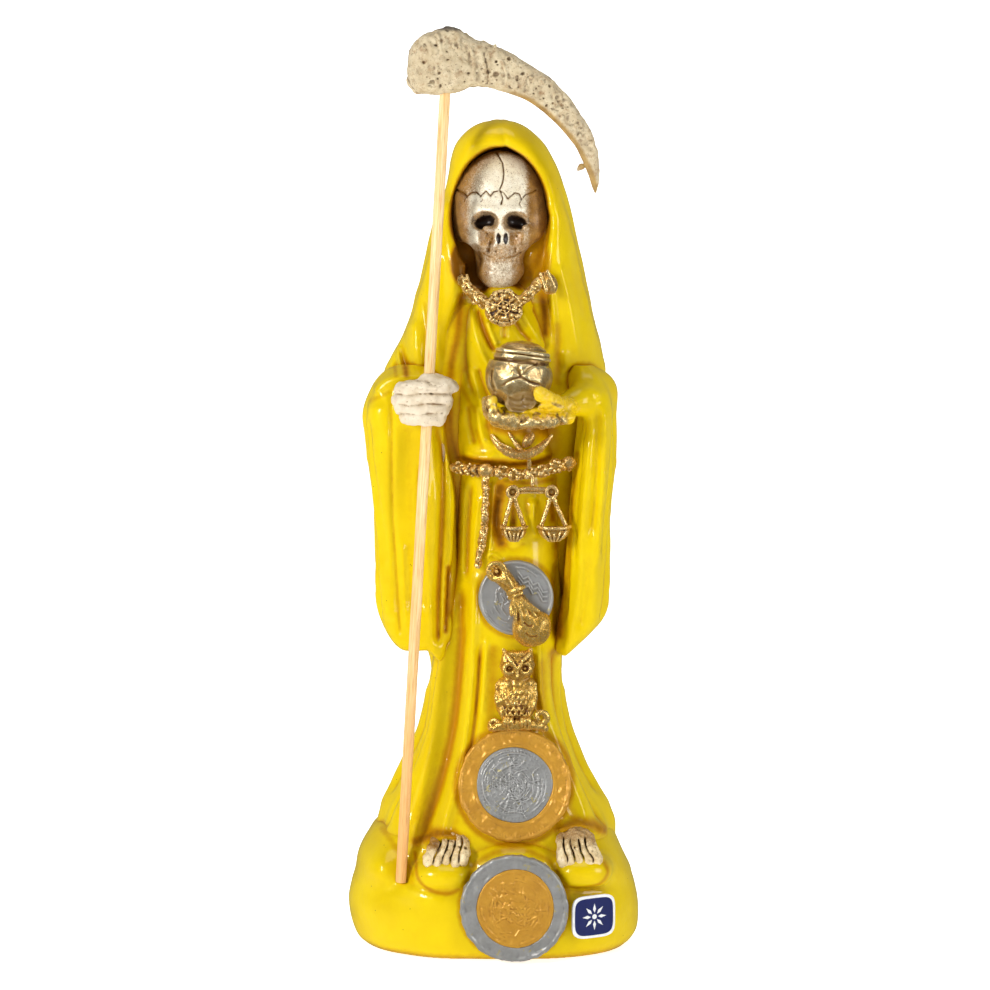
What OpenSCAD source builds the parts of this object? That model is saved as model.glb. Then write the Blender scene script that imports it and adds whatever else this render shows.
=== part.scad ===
// Robed skeleton figure with a scythe: cast resin castings, applied charms, bamboo pole.
// Millimetres. +Z up, front of the figure faces -Y, origin on the resting face under the
// middle of the overall box.

/* [Base] */
// Half width of the plinth at its widest
base_hw = 37.3; // [36:0.1:38.5]
// Front reach of the plinth from the origin
base_front = 26.8; // [26:0.1:27.4]
// Back reach of the plinth from the origin
base_back = 28.6; // [27.5:0.1:29.5]

/* [Robe] */
// Depth of the pleats in the gown, as a share of its radius
pleat = 0.022; // [0:0.002:0.03]
// Number of pleats round the gown
pleat_n = 11; // [7:1:13]
// Facets round the gown and the mantle
robe_fn = 40; // [36:4:52]
// Height of one row of facets on the robe
robe_step = 7.5; // [4.5:0.5:8]
// Half width of the opening for the face
face_hw = 11.9; // [11.7:0.1:12.3]
// Half height of the opening for the face
face_hh = 17.8; // [17.6:0.1:18.2]

/* [Skull] */
// Half width of the cranium
cranium_hw = 11.1; // [10.4:0.1:11.3]
// Radius of an eye socket
socket_r = 2.6; // [2:0.1:2.9]

/* [Scythe] */
// Diameter of the bamboo pole
pole_d = 2.6; // [2.3:0.1:2.8]
// Length of the bamboo pole that shows below the blade
pole_shown = 193.3; // [192:0.1:194]
// Radial clearance of the pole in the fist
grip_gap = 0.15; // [0.12:0.01:0.25]
// Radial clearance of the pole's top in the blade's socket
socket_gap = 0.05; // [0.03:0.01:0.08]
// Depth of the pole in the blade's head
socket_depth = 9; // [7:0.5:10]
// Thickness of the blade at its root
blade_t = 5.4; // [4.6:0.1:6]

/* [Coins] */
// Radius of the coin on the hem
upper_r = 14.0; // [13.4:0.1:14.2]
// Radius of the coin's core on the hem
upper_core_r = 9.4; // [8.8:0.1:10]
// Radius of the coin on the plinth
lower_r = 13.2; // [12.8:0.1:13.4]
// Radius of the coin's core on the plinth
lower_core_r = 9.7; // [9:0.1:10.2]
// Thickness of the two large coins
coin_t = 2.0; // [1.8:0.1:2.2]
// Radius of the coin behind the pouch
silver_r = 9.3; // [8.8:0.1:9.5]

/* [Charms] */
// Radius of the globe
globe_r = 8.2; // [7.8:0.1:8.4]
// Radius of the belt cord
cord_r = 1.5; // [1.3:0.1:1.6]
// Radius of the medallion
medal_r = 4.7; // [4.3:0.1:5]

/* [Hands and feet] */
// Width of a foot across the toes
foot_w = 10.8; // [10:0.1:11.4]

/* [Hidden] */
eps = 0.06;               // glue gap between a charm and its seat
pole_len = pole_shown + socket_depth;

// Axis of the pole: foot and a point at its top.
pole_foot = [-23.3, -20.4, 18.6];
pole_top = [-12.1, -17.2, 211.9];
pole_v = pole_top - pole_foot;
pole_tilt = acos(pole_v[2] / norm(pole_v));
pole_head = atan2(pole_v[1], pole_v[0]);
module on_pole() { translate(pole_foot) rotate([0, pole_tilt, pole_head]) children(); }

// Smooth table lookup: rows are [z, ...]; a cubic runs through the rows' values.
function seg(T, z, i = 0) = (i >= len(T) - 2 || z < T[i + 1][0]) ? i : seg(T, z, i + 1);
function slope(T, i, c) =
    i == 0 ? (T[1][c] - T[0][c]) / (T[1][0] - T[0][0]) :
    i == len(T) - 1 ? (T[i][c] - T[i - 1][c]) / (T[i][0] - T[i - 1][0]) :
    (T[i + 1][c] - T[i - 1][c]) / (T[i + 1][0] - T[i - 1][0]);
function at(T, z, c) = let(i = seg(T, z), h = T[i + 1][0] - T[i][0], t = (z - T[i][0]) / h)
    (2*t*t*t - 3*t*t + 1) * T[i][c] + (t*t*t - 2*t*t + t) * slope(T, i, c) * h +
    (3*t*t - 2*t*t*t) * T[i + 1][c] + (t*t*t - t*t) * slope(T, i + 1, c) * h;
function spow(v, p) = sign(v) * pow(abs(v), p);

// One ring of a draped form. Columns: z, centre x, half width, front y, back y, squareness.
function ring(T, z, n, amp = 0, k = 9, ph = 0) =
    let(cx = at(T, z, 1), hw = at(T, z, 2), yf = at(T, z, 3), yb = at(T, z, 4), e = at(T, z, 5),
        yc = (yf + yb) / 2, hd = (yb - yf) / 2)
    [for (j = [0:n - 1]) let(a = 360 * j / n, f = 1 + amp * cos(k * a + ph))
        [cx + f * hw * spow(cos(a), 2 / e), yc + f * hd * spow(sin(a), 2 / e), z]];
module skin(R) {
    n = len(R[0]); m = len(R);
    polyhedron([for (r = R) each r], concat(
        [[for (j = [0:n - 1]) j]], [[for (j = [n - 1:-1:0]) (m - 1) * n + j]],
        [for (i = [0:m - 2], j = [0:n - 1]) [i*n + j, (i+1)*n + j, (i+1)*n + (j+1) % n]],
        [for (i = [0:m - 2], j = [0:n - 1]) [i*n + j, (i+1)*n + (j+1) % n, i*n + (j+1) % n]]));
}
function levels(z0, z1, step) = let(m = ceil((z1 - z0) / step)) [for (i = [0:m]) z0 + (z1 - z0) * i / m];
// One closed mesh out of a boolean of draped forms.
module one_mesh() { resize([0, 0, 0]) children(); }

// ---------- draped forms ----------
PLINTH = [
    [0, 0, 33.4, -23.4, 24.8, 2.5], [2, 0, 35.2, -25.2, 26.8, 2.5], [5.5, 0, 36.8, -26.4, 28.2, 2.5],
    [10, 0, base_hw, -base_front, base_back, 2.5], [14, 0, 36.4, -26.3, 28.0, 2.5],
    [17.6, 0, 35.1, -25.0, 26.8, 2.5], [20.2, 0, 33.4, -23.0, 24.8, 2.4], [22, 0.2, 32.0, -21.4, 23.2, 2.4]];
GOWN = [
    [22, 0.3, 31.0, -20.6, 22.4, 2.3], [30, 0.4, 29.4, -19.9, 21.4, 2.3], [36, 0.2, 26.8, -18.8, 20.2, 2.3],
    [44, 0.1, 23.0, -17.4, 18.8, 2.3], [52, 0.1, 19.8, -16.2, 17.6, 2.3], [60, 0.2, 17.9, -15.2, 16.6, 2.4],
    [68, 0.3, 17.0, -14.4, 16.0, 2.5], [84, 0.6, 16.2, -13.6, 15.0, 2.6], [104, 1.4, 15.2, -13.0, 14.2, 2.6],
    [120, 2.0, 14.4, -12.6, 13.6, 2.6], [134, 2.2, 13.8, -13.2, 13.0, 2.6], [148, 2.0, 13.0, -13.0, 12.0, 2.5],
    [156, 2.0, 11.4, -12.2, 10.4, 2.4], [162.4, 2.0, 8.0, -10.6, 7.4, 2.2]];
MANTLE = [
    [24, 0.2, 28.0, 4.0, 24.8, 2.6], [40, 0.1, 23.6, 3.0, 21.8, 2.6], [56, 0.1, 17.6, 2.0, 19.2, 2.6],
    [70, 0.1, 16.2, 0.0, 18.6, 2.6], [78, -0.4, 19.0, -4.6, 18.4, 2.8], [92, -0.6, 22.0, -6.4, 18.0, 2.9],
    [112, -0.8, 24.0, -7.4, 17.6, 2.9], [130, -0.9, 26.2, -8.4, 17.4, 2.9], [142, -0.4, 27.6, -10.0, 17.2, 2.8],
    [150, 0.9, 26.2, -11.8, 17.0, 2.7], [160, 1.7, 23.2, -13.0, 16.8, 2.5], [168, 2.0, 20.8, -13.8, 16.6, 2.4],
    [176, 2.4, 18.4, -14.0, 16.4, 2.3], [184, 2.6, 16.0, -13.8, 16.0, 2.2], [192, 2.3, 13.8, -13.2, 15.0, 2.15],
    [198, 1.8, 11.9, -12.2, 13.4, 2.1], [202, 1.4, 9.6, -10.6, 11.0, 2.0], [205, 1.2, 6.4, -8.0, 8.2, 2.0],
    [206.7, 1.2, 2.6, -4.0, 4.4, 2.0]];
RSLEEVE = [
    [73, -20.6, 3.0, -9.4, -1.0, 2.2], [77, -21.4, 5.4, -11.4, 1.6, 2.4], [84, -19.9, 9.4, -12.6, 4.0, 2.6],
    [98, -19.7, 9.9, -13.4, 6.0, 2.8], [116, -20.3, 10.7, -14.4, 7.0, 2.8], [128, -21.0, 11.3, -15.2, 7.4, 2.7],
    [136, -21.6, 10.7, -15.4, 7.2, 2.5], [142, -22.0, 8.2, -14.2, 6.0, 2.3], [146.5, -22.4, 4.6, -11.4, 3.0, 2.0]];
LSLEEVE = [
    [73, 19.2, 2.6, -9.6, -2.0, 2.2], [77, 20.6, 3.9, -12.0, 0.6, 2.4], [84, 21.3, 5.3, -13.4, 3.0, 2.6],
    [98, 22.2, 5.9, -14.6, 5.0, 2.8], [116, 23.0, 6.3, -15.6, 6.0, 2.8], [128, 23.3, 6.4, -16.4, 6.4, 2.7],
    [136, 23.0, 6.4, -16.6, 6.2, 2.5], [142, 22.2, 5.8, -15.4, 5.0, 2.3], [146.5, 21.4, 3.8, -12.4, 2.0, 2.0]];
module plinth_form() skin([for (z = [0, 0.9, 2.2, 4.2, 7, 10, 13, 15.6, 17.8, 20, 22]) ring(PLINTH, z, 44)]);
module gown_form() skin([for (z = levels(22, 162.4, robe_step)) ring(GOWN, z, robe_fn, pleat * min(1, (170 - z) / 90), pleat_n, 90)]);
module mantle_form() skin([for (z = concat(levels(24, 198, robe_step), [200.4, 202.6, 204.4, 205.8, 206.7])) ring(MANTLE, z, robe_fn)]);
module rsleeve_form() skin([for (z = levels(73, 146.5, 4.6)) ring(RSLEEVE, z, 28)]);
module lsleeve_form() skin([for (z = levels(73, 146.5, 4.6)) ring(LSLEEVE, z, 24)]);

// ---------- base ----------
module foot_seats(g) { foot_form(-1, g); foot_form(1, g); }
module base_plinth() {
    color("gold") one_mesh() difference() {
        union() {
            plinth_form();
            // rocky steps under the two feet
            for (s = [-1, 1]) hull() {
                translate([4.7 + s * 15.6, -18.6, 17.5]) scale([1, 0.72, 0.62]) sphere(r = 8.2, $fn = 20);
                translate([4.7 + s * 12, -15, 17.5]) scale([1, 0.7, 0.62]) sphere(r = 7.4, $fn = 16);
            }
        }
        gown_form();
        foot_seats(eps);
        lower_coin_blank(eps);
        upper_coin_blank(eps);
        label_blank(eps);
        on_pole() translate([0, 0, -0.05]) cylinder(r = pole_d / 2 + 0.5, h = 30, $fn = 24);
    }
}

// ---------- robe ----------
module gown() {
    color("gold") one_mesh() difference() {
        gown_form();
        foot_seats(eps); upper_coin_blank(eps); silver_blank(eps); pouch_form(eps); owl_form(eps);
        belt_form(eps, 40); tail_form(eps); beam_form(eps); pan_form(-1, eps); pan_form(1, eps);
        crescent_form(eps); medal_blank(eps); chain_form(eps, 16); globe_blank(eps);
    }
}
module hooded_mantle() {
    color("gold") one_mesh() difference() {
        mantle_form();
        gown_form();
        plinth_form();
        // recess for the skull, and the open front below it down to the belt
        translate([1.2, 2, 182.6]) scale([face_hw, 1, face_hh]) rotate([90, 0, 0]) cylinder(r = 1, h = 20, $fn = 40);
        skull_form(eps);
        hull() for (p = [[1.6, 172, 9.6], [2.2, 150, 11.4], [2.4, 112, 12.6]])
            translate([p[0], 2, p[1]]) rotate([90, 0, 0]) cylinder(r = p[2], h = 24, $fn = 24);
        chain_form(eps, 16); medal_blank(eps); clasp_form(eps);
    }
}
module right_sleeve() {
    color("gold") one_mesh() difference() {
        rsleeve_form();
        mantle_form(); gown_form();
        on_pole() cylinder(r = pole_d / 2 + 0.8, h = 200, $fn = 20);
        fist_body(0.1);
    }
}
module left_sleeve() {
    color("gold") one_mesh() difference() {
        lsleeve_form();
        mantle_form(); gown_form();
        left_hand_form(eps); globe_blank(eps); pan_form(1, eps); belt_form(eps, 40);
    }
}

// ---------- skull ----------
skull_c = [1.2, -2.2, 184.6];
module skull_form(g) {
    translate(skull_c) scale([cranium_hw + g, 9.6 + g, 13.8 + g]) sphere(r = 1, $fn = 26);
    hull() {
        translate([1.2, -5.4, 178.4]) scale([8.9 + g, 5.6 + g, 5.4 + g]) sphere(r = 1, $fn = 16);
        translate([1.4, -7.6, 168.9]) scale([5.7 + g, 4.4 + g, 4.0 + g]) sphere(r = 1, $fn = 16);
    }
}
module skull() {
    color("ivory") one_mesh() difference() {
        skull_form(0);
        for (s = [-1, 1]) translate([1.2 + s * 4.5, -10.4, 181.4]) scale([1.25, 1.2, 1]) sphere(r = socket_r, $fn = 14);
        // nose
        translate([1.3, -11.6, 176.6]) scale([0.62, 1, 1.3]) sphere(r = 1.7, $fn = 12);
        // parting of the jaws
        translate([-3.2, -16, 171.6]) cube([9, 4.2, 0.5]);
    }
}

// ---------- hands and feet ----------
fist_c = [-17.1, -18.4, 137.7];
module fist_body(g) {
    translate(fist_c) {
        hull() { for (x = [-5.4, 4.6]) translate([x, 0.6, 0]) scale([1, 1.15, 1.25]) sphere(r = 3.9 + g, $fn = 14); }
        translate([-3.6, 5.8, 0]) rotate([90, 0, 0]) cylinder(r = 3.3 + g, h = 7, center = true, $fn = 20);
    }
}
module right_hand() {
    color("ivory") difference() {
        one_mesh() union() {
            fist_body(0);
            // four fingers round the pole
            for (i = [0:3]) translate(fist_c + [0.1 * i, -0.2, 4.0 - 2.6 * i]) hull() {
                for (x = [-6.0 + 0.3 * i, 5.6 - 0.6 * i]) translate([x, -1.2, 0]) scale([1, 2.7, 1]) sphere(r = 1.4, $fn = 12);
            }
            translate(fist_c + [5.4, -0.6, 4.0]) scale([1.5, 1.6, 1]) sphere(r = 1.8, $fn = 12);
        }
        on_pole() translate([0, 0, 100]) cylinder(r = pole_d / 2 + grip_gap, h = 40, $fn = 48);
    }
}
module left_hand_form(g) {
    hull() {
        translate([19.5, -16.4, 137.6]) sphere(r = 3.0 + g, $fn = 12);
        translate([12.0, -20.4, 136.0]) scale([1.4, 1.3, 0.9]) sphere(r = 2.8 + g, $fn = 12);
    }
    hull() {
        translate([12.0, -20.8, 135.6]) scale([1.4, 1.5, 0.9]) sphere(r = 2.8 + g, $fn = 12);
        translate([2.0, -22.0, 135.0]) scale([1.2, 1.6, 0.9]) sphere(r = 2.6 + g, $fn = 12);
    }
}
module left_hand() {
    color("goldenrod") one_mesh() difference() {
        union() {
            left_hand_form(0);
            // fingers that cup the globe, and the thumb
            for (i = [0:2]) hull() {
                translate([2.0 + i, -25.0 + 2.6 * i, 134.6]) sphere(r = 1.3, $fn = 12);
                translate([-2.2 + 0.3 * i, -25.4 + 2.8 * i, 138.6]) sphere(r = 1.0, $fn = 12);
            }
            hull() {
                translate([15.6, -22.2, 137.2]) sphere(r = 1.5, $fn = 12);
                translate([12.0, -26.4, 141.4]) sphere(r = 1.0, $fn = 12);
            }
        }
        globe_blank(eps);
    }
}
module foot_form(s, g) {
    translate([4.7 + s * 15.6, -19.2, 24.4]) rotate([26, 0, s * 8]) hull() {
        translate([0, -3.0, -0.4]) scale([foot_w / 2 / 3, 0.9, 0.62]) sphere(r = 3 + g, $fn = 18);
        translate([0, 3.4, 0.8]) scale([foot_w / 2 / 3.4, 1.0, 0.8]) sphere(r = 3 + g, $fn = 18);
    }
}
module foot(s) {
    color("ivory") one_mesh() difference() {
        foot_form(s, 0);
        // gaps between the toes
        translate([4.7 + s * 15.6, -19.2, 24.4]) rotate([26, 0, s * 8])
            for (x = [-2.4, 0, 2.4]) translate([x - 0.2, -7, 0.5]) cube([0.4, 6.5, 4]);
    }
}
module right_foot() foot(-1);
module left_foot() foot(1);

// ---------- globe and its band ----------
globe_c = [5.8, -22.0, 144.1];
module globe_blank(g) { translate(globe_c) sphere(r = globe_r + 0.08 + g, $fn = 30); }
module globe() {
    color("goldenrod") translate(globe_c) rotate([10, 4, 0]) rotate_extrude($fn = 72) intersection() {
        union() {
            circle(r = globe_r, $fn = 90);
            // lid band
            translate([0, 4.4]) square([7.2, 0.9]);
        }
        translate([0, -10]) square([10, 20]);
    }
}

// ---------- necklace ----------
module chain_form(g, n) {
    translate([2.2, -12.6, 177.1]) rotate([90, 0, 0]) rotate([0, 0, 227])
        rotate_extrude(angle = 86, $fn = n == 16 ? 60 : 180) translate([15.5, 0]) circle(r = 1.1 + g, $fn = n);
}
module necklace_chain() { color("goldenrod") difference() { chain_form(0, 48); medal_blank(eps); clasp_form(eps); } }
module medal_at() { translate([2.2, -13.2, 160.3]) rotate([84, 0, 0]) children(); }
module medal_blank(g) { medal_at() translate([0, 0, -g]) cylinder(r = medal_r + g, h = 2.2 + 2 * g, $fn = 32); }
module necklace_medallion() {
    color("goldenrod") medal_at() difference() {
        cylinder(r = medal_r, h = 2.2, $fn = 60);
        translate([0, 0, 1.7]) rotate_extrude($fn = 60) translate([3.2, 0]) square([0.5, 1]);
    }
}
module clasp_form(g) { translate([13.4, -12.0, 166.4]) rotate([90, 0, 0]) cylinder(r = 1.9 + g, h = 3.2, center = true, $fn = 24); }
module mantle_clasp() { color("peru") clasp_form(0); }

// ---------- belt, charms ----------
belt_R = 42;
module belt_form(g, n) {
    translate([4.8, -13.4 + belt_R, 120.2]) rotate([0, 0, 250.5])
        rotate_extrude(angle = 39, $fn = n == 40 ? 120 : 240) translate([belt_R, 0]) circle(r = cord_r + g, $fn = n == 40 ? 16 : 48);
}
module belt_cord() { color("goldenrod") belt_form(0, 48); }
module tail_form(g) {
    translate([-2.4, -13.4, 106.4]) cylinder(r = 1.1 + g, h = 12.3 - g, $fn = 20);
    translate([-3.6, -13.6, 98.2]) rotate([0, 8, 0]) cylinder(r = 1.1 + g, h = 8.6, $fn = 20);
    translate([-2.4, -13.4, 106.4]) sphere(r = 1.1 + g, $fn = 20);
}
module belt_tail() { color("goldenrod") difference() { tail_form(0); belt_form(eps, 48); } }
module beam_form(g) {
    translate([3.6, -14.2 - 0.5, 114.2 - g]) cube([11.2, 1.4 + g, 1.2 + 2 * g]);
    for (x = [4.3, 14.1]) translate([x, -13.2, 114.9]) rotate([90, 0, 0]) cylinder(r = 1.7 + g, h = 1.9, $fn = 24);
    translate([9.2, -13.2, 115]) cylinder(r = 0.7 + g, h = 3.6, $fn = 16);
}
module scales_beam() {
    color("goldenrod") difference() {
        beam_form(0);
        for (x = [4.3, 14.1]) translate([x, -12, 114.9]) rotate([90, 0, 0]) cylinder(r = 0.8, h = 6, $fn = 24);
        belt_form(eps, 48);
    }
}
pan_x = [4.7, 14.7];
module pan_form(s, g) {
    x = s < 0 ? pan_x[0] : pan_x[1];
    translate([x, -14.4, 105.4]) {
        // bowl
        difference() {
            rotate([0, 0, 0]) sphere(r = 3.4 + g, $fn = 24);
            translate([-5, -5, 0.2 + g]) cube([10, 10, 5]);
        }
        // hangers
        for (t = [-1, 1]) translate([t * 2.6, 0.2, 0]) rotate([0, -t * 18, 0]) cylinder(r = 0.5 + g, h = 8.2, $fn = 16);
    }
}
module pan(s) { color("goldenrod") difference() { pan_form(s, 0); beam_form(eps); } }
module right_scale_pan() pan(-1);
module left_scale_pan() pan(1);
module crescent_form(g) {
    translate([7.0, -12.4, 133.4]) rotate([90, 0, 0]) linear_extrude(2.4 + g) difference() {
        circle(r = 8.4 + g, $fn = 48);
        translate([0, 2.6]) circle(r = 8.6 - g, $fn = 48);
        translate([-12, -0.6]) square([24, 14]);
    }
    translate([8.6, -13.4, 121.4]) cylinder(r = 0.6 + g, h = 4.6, $fn = 16);
}
module crescent_charm() { color("goldenrod") difference() { crescent_form(0); belt_form(eps, 48); } }

// ---------- coins ----------
module silver_at() { translate([5.2, -12.9, 88.7]) rotate([88, 0, 0]) children(); }
module silver_blank(g) { silver_at() translate([0, 0, -g]) cylinder(r = silver_r + g, h = 1.8 + g, $fn = 40); }
module silver_coin() { color("silver") difference() { silver_at() cylinder(r = silver_r, h = 1.8, $fn = 60); pouch_form(eps); } }
module upper_at() { translate([4.8, -17.0, 42.4]) rotate([80, 0, 0]) children(); }
module upper_coin_blank(g) { upper_at() translate([0, 0, -g]) cylinder(r = upper_r + g, h = coin_t + 2 * g, $fn = 48); }
module upper_coin_ring() { color("peru") upper_at() difference() {
    cylinder(r = upper_r, h = coin_t, $fn = 90);
    translate([0, 0, -1]) cylinder(r = upper_core_r + 0.02, h = coin_t + 2, $fn = 90); } }
module upper_coin_core() { color("silver") upper_at() cylinder(r = upper_core_r, h = coin_t, $fn = 90); }
module lower_at() { translate([4.7, -26.4, 13.8]) rotate([89, 0, 0]) children(); }
module lower_coin_blank(g) { lower_at() translate([0, 0, -g]) cylinder(r = lower_r + g, h = coin_t + 2 * g, $fn = 48); }
module lower_coin_ring() { color("silver") lower_at() difference() {
    cylinder(r = lower_r, h = coin_t, $fn = 90);
    translate([0, 0, -1]) cylinder(r = lower_core_r + 0.02, h = coin_t + 2, $fn = 90); } }
module lower_coin_core() { color("peru") lower_at() cylinder(r = lower_core_r, h = coin_t, $fn = 90); }

// ---------- pouch, owl ----------
module pouch_form(g) {
    hull() {
        translate([9.8, -15.0, 81.8]) scale([1.15, 0.62, 1]) sphere(r = 4.5 + g, $fn = 16);
        translate([5.4, -14.8, 90.4]) scale([1, 0.8, 1]) sphere(r = 1.8 + g, $fn = 14);
    }
    hull() {
        translate([5.0, -14.8, 91.4]) scale([1, 0.8, 1]) sphere(r = 1.8 + g, $fn = 14);
        translate([0.6, -14.6, 95.8]) scale([1, 0.7, 1]) sphere(r = 2.6 + g, $fn = 12);
    }
}
module money_pouch() { color("goldenrod") one_mesh() pouch_form(0); }
module owl_form(g) {
    translate([5.3, -15.4, 72.6]) scale([4.1 + g, 3.2 + g, 4.4 + g]) sphere(r = 1, $fn = 18);
    translate([5.1, -15.8, 64.4]) scale([4.9 + g, 3.6 + g, 6.4 + g]) sphere(r = 1, $fn = 18);
    translate([5.8, -16.2, 58.6]) scale([6.6 + g, 2.9 + g, 1.7 + g]) sphere(r = 1, $fn = 16);
    for (s = [-1, 1]) translate([5.3 + s * 2.8, -15.8, 75.4]) rotate([0, s * 14, 0]) cylinder(r1 = 1.5 + g, r2 = 0.4 + g, h = 2.6, $fn = 12);
}
module owl_charm() { color("goldenrod") one_mesh() difference() { owl_form(0); pouch_form(eps); upper_coin_blank(eps); } }

// ---------- label ----------
module label_at() { translate([24.4, -24.35, 11.0]) rotate([0, 0, 26]) rotate([90, 0, 0]) children(); }
module label_shape(g) { offset(r = 2 + g, $fn = 32) square([8.2, 7.2], center = true); }
module label_blank(g) { label_at() translate([0, 0, -0.3 - g]) linear_extrude(6) offset(r = 2 + g, $fn = 24) square([8.2, 7.2], center = true); }
module plinth_label() { color("navy") label_at() translate([0, 0, -0.3]) linear_extrude(0.4) label_shape(0); }

// ---------- scythe ----------
module scythe_pole() { color("burlywood") on_pole() cylinder(r = pole_d / 2, h = pole_len, $fn = 60); }
// Blade: stations [t, x, z, width, thickness share] along the horn from root to tip.
BLADE = [
    [0, -16.0, 219.4, 10.4, 1.3], [0.14, -10.6, 219.8, 11.8, 1.3], [0.26, -5.4, 219.4, 11.0, 1.1],
    [0.4, 1.6, 217.2, 9.2, 1.0], [0.56, 9.2, 213.2, 8.4, 0.92], [0.7, 15.8, 207.4, 7.4, 0.8],
    [0.82, 20.6, 200.8, 5.8, 0.66], [0.92, 23.8, 194.2, 3.8, 0.5], [1, 24.9, 188.3, 1.1, 0.34]];
blade_y = -17.1;
function blade_ring(t, n) =
    let(c = [at(BLADE, t, 1), at(BLADE, t, 2)], d = 0.02,
        a = [at(BLADE, max(0, t - d), 1), at(BLADE, max(0, t - d), 2)],
        b = [at(BLADE, min(1, t + d), 1), at(BLADE, min(1, t + d), 2)],
        v = (b - a) / norm(b - a), u = [-v[1], v[0]], w = at(BLADE, t, 3) / 2, h = blade_t * at(BLADE, t, 4) / 2)
    [for (j = [0:n - 1]) let(q = 360 * j / n) [c[0] + u[0] * w * cos(q), blade_y + h * sin(q), c[1] + u[1] * w * cos(q)]];
module blade_skin() {
    n = 16; R = [for (i = [0:22]) blade_ring(i / 22, n)]; m = len(R);
    polyhedron([for (r = R) each r], concat(
        [[for (j = [n - 1:-1:0]) j]], [[for (j = [0:n - 1]) (m - 1) * n + j]],
        [for (i = [0:m - 2], j = [0:n - 1]) [i*n + j, (i+1)*n + (j+1) % n, (i+1)*n + j]],
        [for (i = [0:m - 2], j = [0:n - 1]) [i*n + j, i*n + (j+1) % n, (i+1)*n + (j+1) % n]]));
}
module scythe_blade() {
    color("cornsilk") difference() {
        one_mesh() union() {
            blade_skin();
            // lump that takes the pole
            hull() {
                translate([-16.6, blade_y, 215.4]) scale([1, 0.92, 1]) sphere(r = 4.3, $fn = 20);
                translate([-10.0, blade_y, 215.8]) scale([1, 0.86, 1]) sphere(r = 4.4, $fn = 20);
                translate([-15.4, blade_y, 221.0]) scale([1, 0.84, 1]) sphere(r = 4.6, $fn = 20);
                translate([-11.4, blade_y, 223.6]) scale([1, 0.84, 1]) sphere(r = 4.6, $fn = 20);
            }
        }
        on_pole() translate([0, 0, pole_shown - 10]) cylinder(r = pole_d / 2 + socket_gap, h = socket_depth + 10.2, $fn = 60);
    }
}

base_plinth();
gown();
hooded_mantle();
right_sleeve();
left_sleeve();
skull();
right_hand();
left_hand();
right_foot();
left_foot();
globe();
necklace_chain();
necklace_medallion();
mantle_clasp();
crescent_charm();
belt_cord();
belt_tail();
scales_beam();
right_scale_pan();
left_scale_pan();
silver_coin();
money_pouch();
owl_charm();
upper_coin_ring();
upper_coin_core();
lower_coin_ring();
lower_coin_core();
plinth_label();
scythe_pole();
scythe_blade();
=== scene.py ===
import math
import bpy
import numpy as np
import openvdb as vdb
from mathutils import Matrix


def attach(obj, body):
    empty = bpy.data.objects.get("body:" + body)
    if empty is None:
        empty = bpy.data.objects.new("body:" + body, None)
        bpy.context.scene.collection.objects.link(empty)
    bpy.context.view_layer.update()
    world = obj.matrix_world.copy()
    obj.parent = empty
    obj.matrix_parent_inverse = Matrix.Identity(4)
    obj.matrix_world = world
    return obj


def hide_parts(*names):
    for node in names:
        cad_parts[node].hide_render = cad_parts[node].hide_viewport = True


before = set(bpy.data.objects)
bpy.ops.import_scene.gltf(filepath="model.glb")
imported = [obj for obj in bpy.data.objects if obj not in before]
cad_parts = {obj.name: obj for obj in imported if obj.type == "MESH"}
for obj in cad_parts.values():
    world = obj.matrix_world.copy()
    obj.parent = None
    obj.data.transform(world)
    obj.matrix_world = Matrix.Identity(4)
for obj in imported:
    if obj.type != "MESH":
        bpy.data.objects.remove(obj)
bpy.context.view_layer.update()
F4 = np.float32
V = np.array

# ---------------------------------------------------------------- modelling clay
# Every cast piece is modelled as a distance field in millimetres on its own grid.


def smin(a, b, k):
    h = np.clip(1.0 - np.abs(a - b) / k, 0.0, 1.0)
    return np.minimum(a, b) - h * h * (k * 0.25)


def smax(a, b, k):
    return -smin(-a, -b, k)


def step(e0, e1, x):
    t = np.clip((x - e0) / (e1 - e0), 0.0, 1.0)
    return t * t * (3.0 - 2.0 * t)


def col(T, z, c):
    """Column c of table T at heights z, on a smooth curve through the rows."""
    zt = V([r[0] for r in T], float)
    v = V([r[c] for r in T], float)
    m = np.empty_like(v)
    m[1:-1] = (v[2:] - v[:-2]) / (zt[2:] - zt[:-2])
    m[0] = (v[1] - v[0]) / (zt[1] - zt[0])
    m[-1] = (v[-1] - v[-2]) / (zt[-1] - zt[-2])
    z = np.clip(np.asarray(z, float), zt[0], zt[-1])
    i = np.clip(np.searchsorted(zt, z, side="right") - 1, 0, len(zt) - 2)
    h = zt[i + 1] - zt[i]
    t = (z - zt[i]) / h
    return ((2 * t**3 - 3 * t**2 + 1) * v[i] + (t**3 - 2 * t**2 + t) * m[i] * h
            + (3 * t**2 - 2 * t**3) * v[i + 1] + (t**3 - t**2) * m[i + 1] * h).astype(F4)


def curve(pts, n=8):
    """Points on a smooth curve through pts."""
    P = V(pts, float)
    if len(P) < 3:
        return P
    E = np.vstack([2 * P[0] - P[1], P, 2 * P[-1] - P[-2]])
    out = []
    for i in range(1, len(E) - 2):
        for t in np.linspace(0, 1, n, endpoint=False):
            a, b, c, d = E[i - 1], E[i], E[i + 1], E[i + 2]
            out.append(0.5 * (2 * b + (c - a) * t + (2 * a - 5 * b + 4 * c - d) * t * t + (3 * b - a - 3 * c + d) * t**3))
    out.append(P[-1])
    return V(out)


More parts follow.
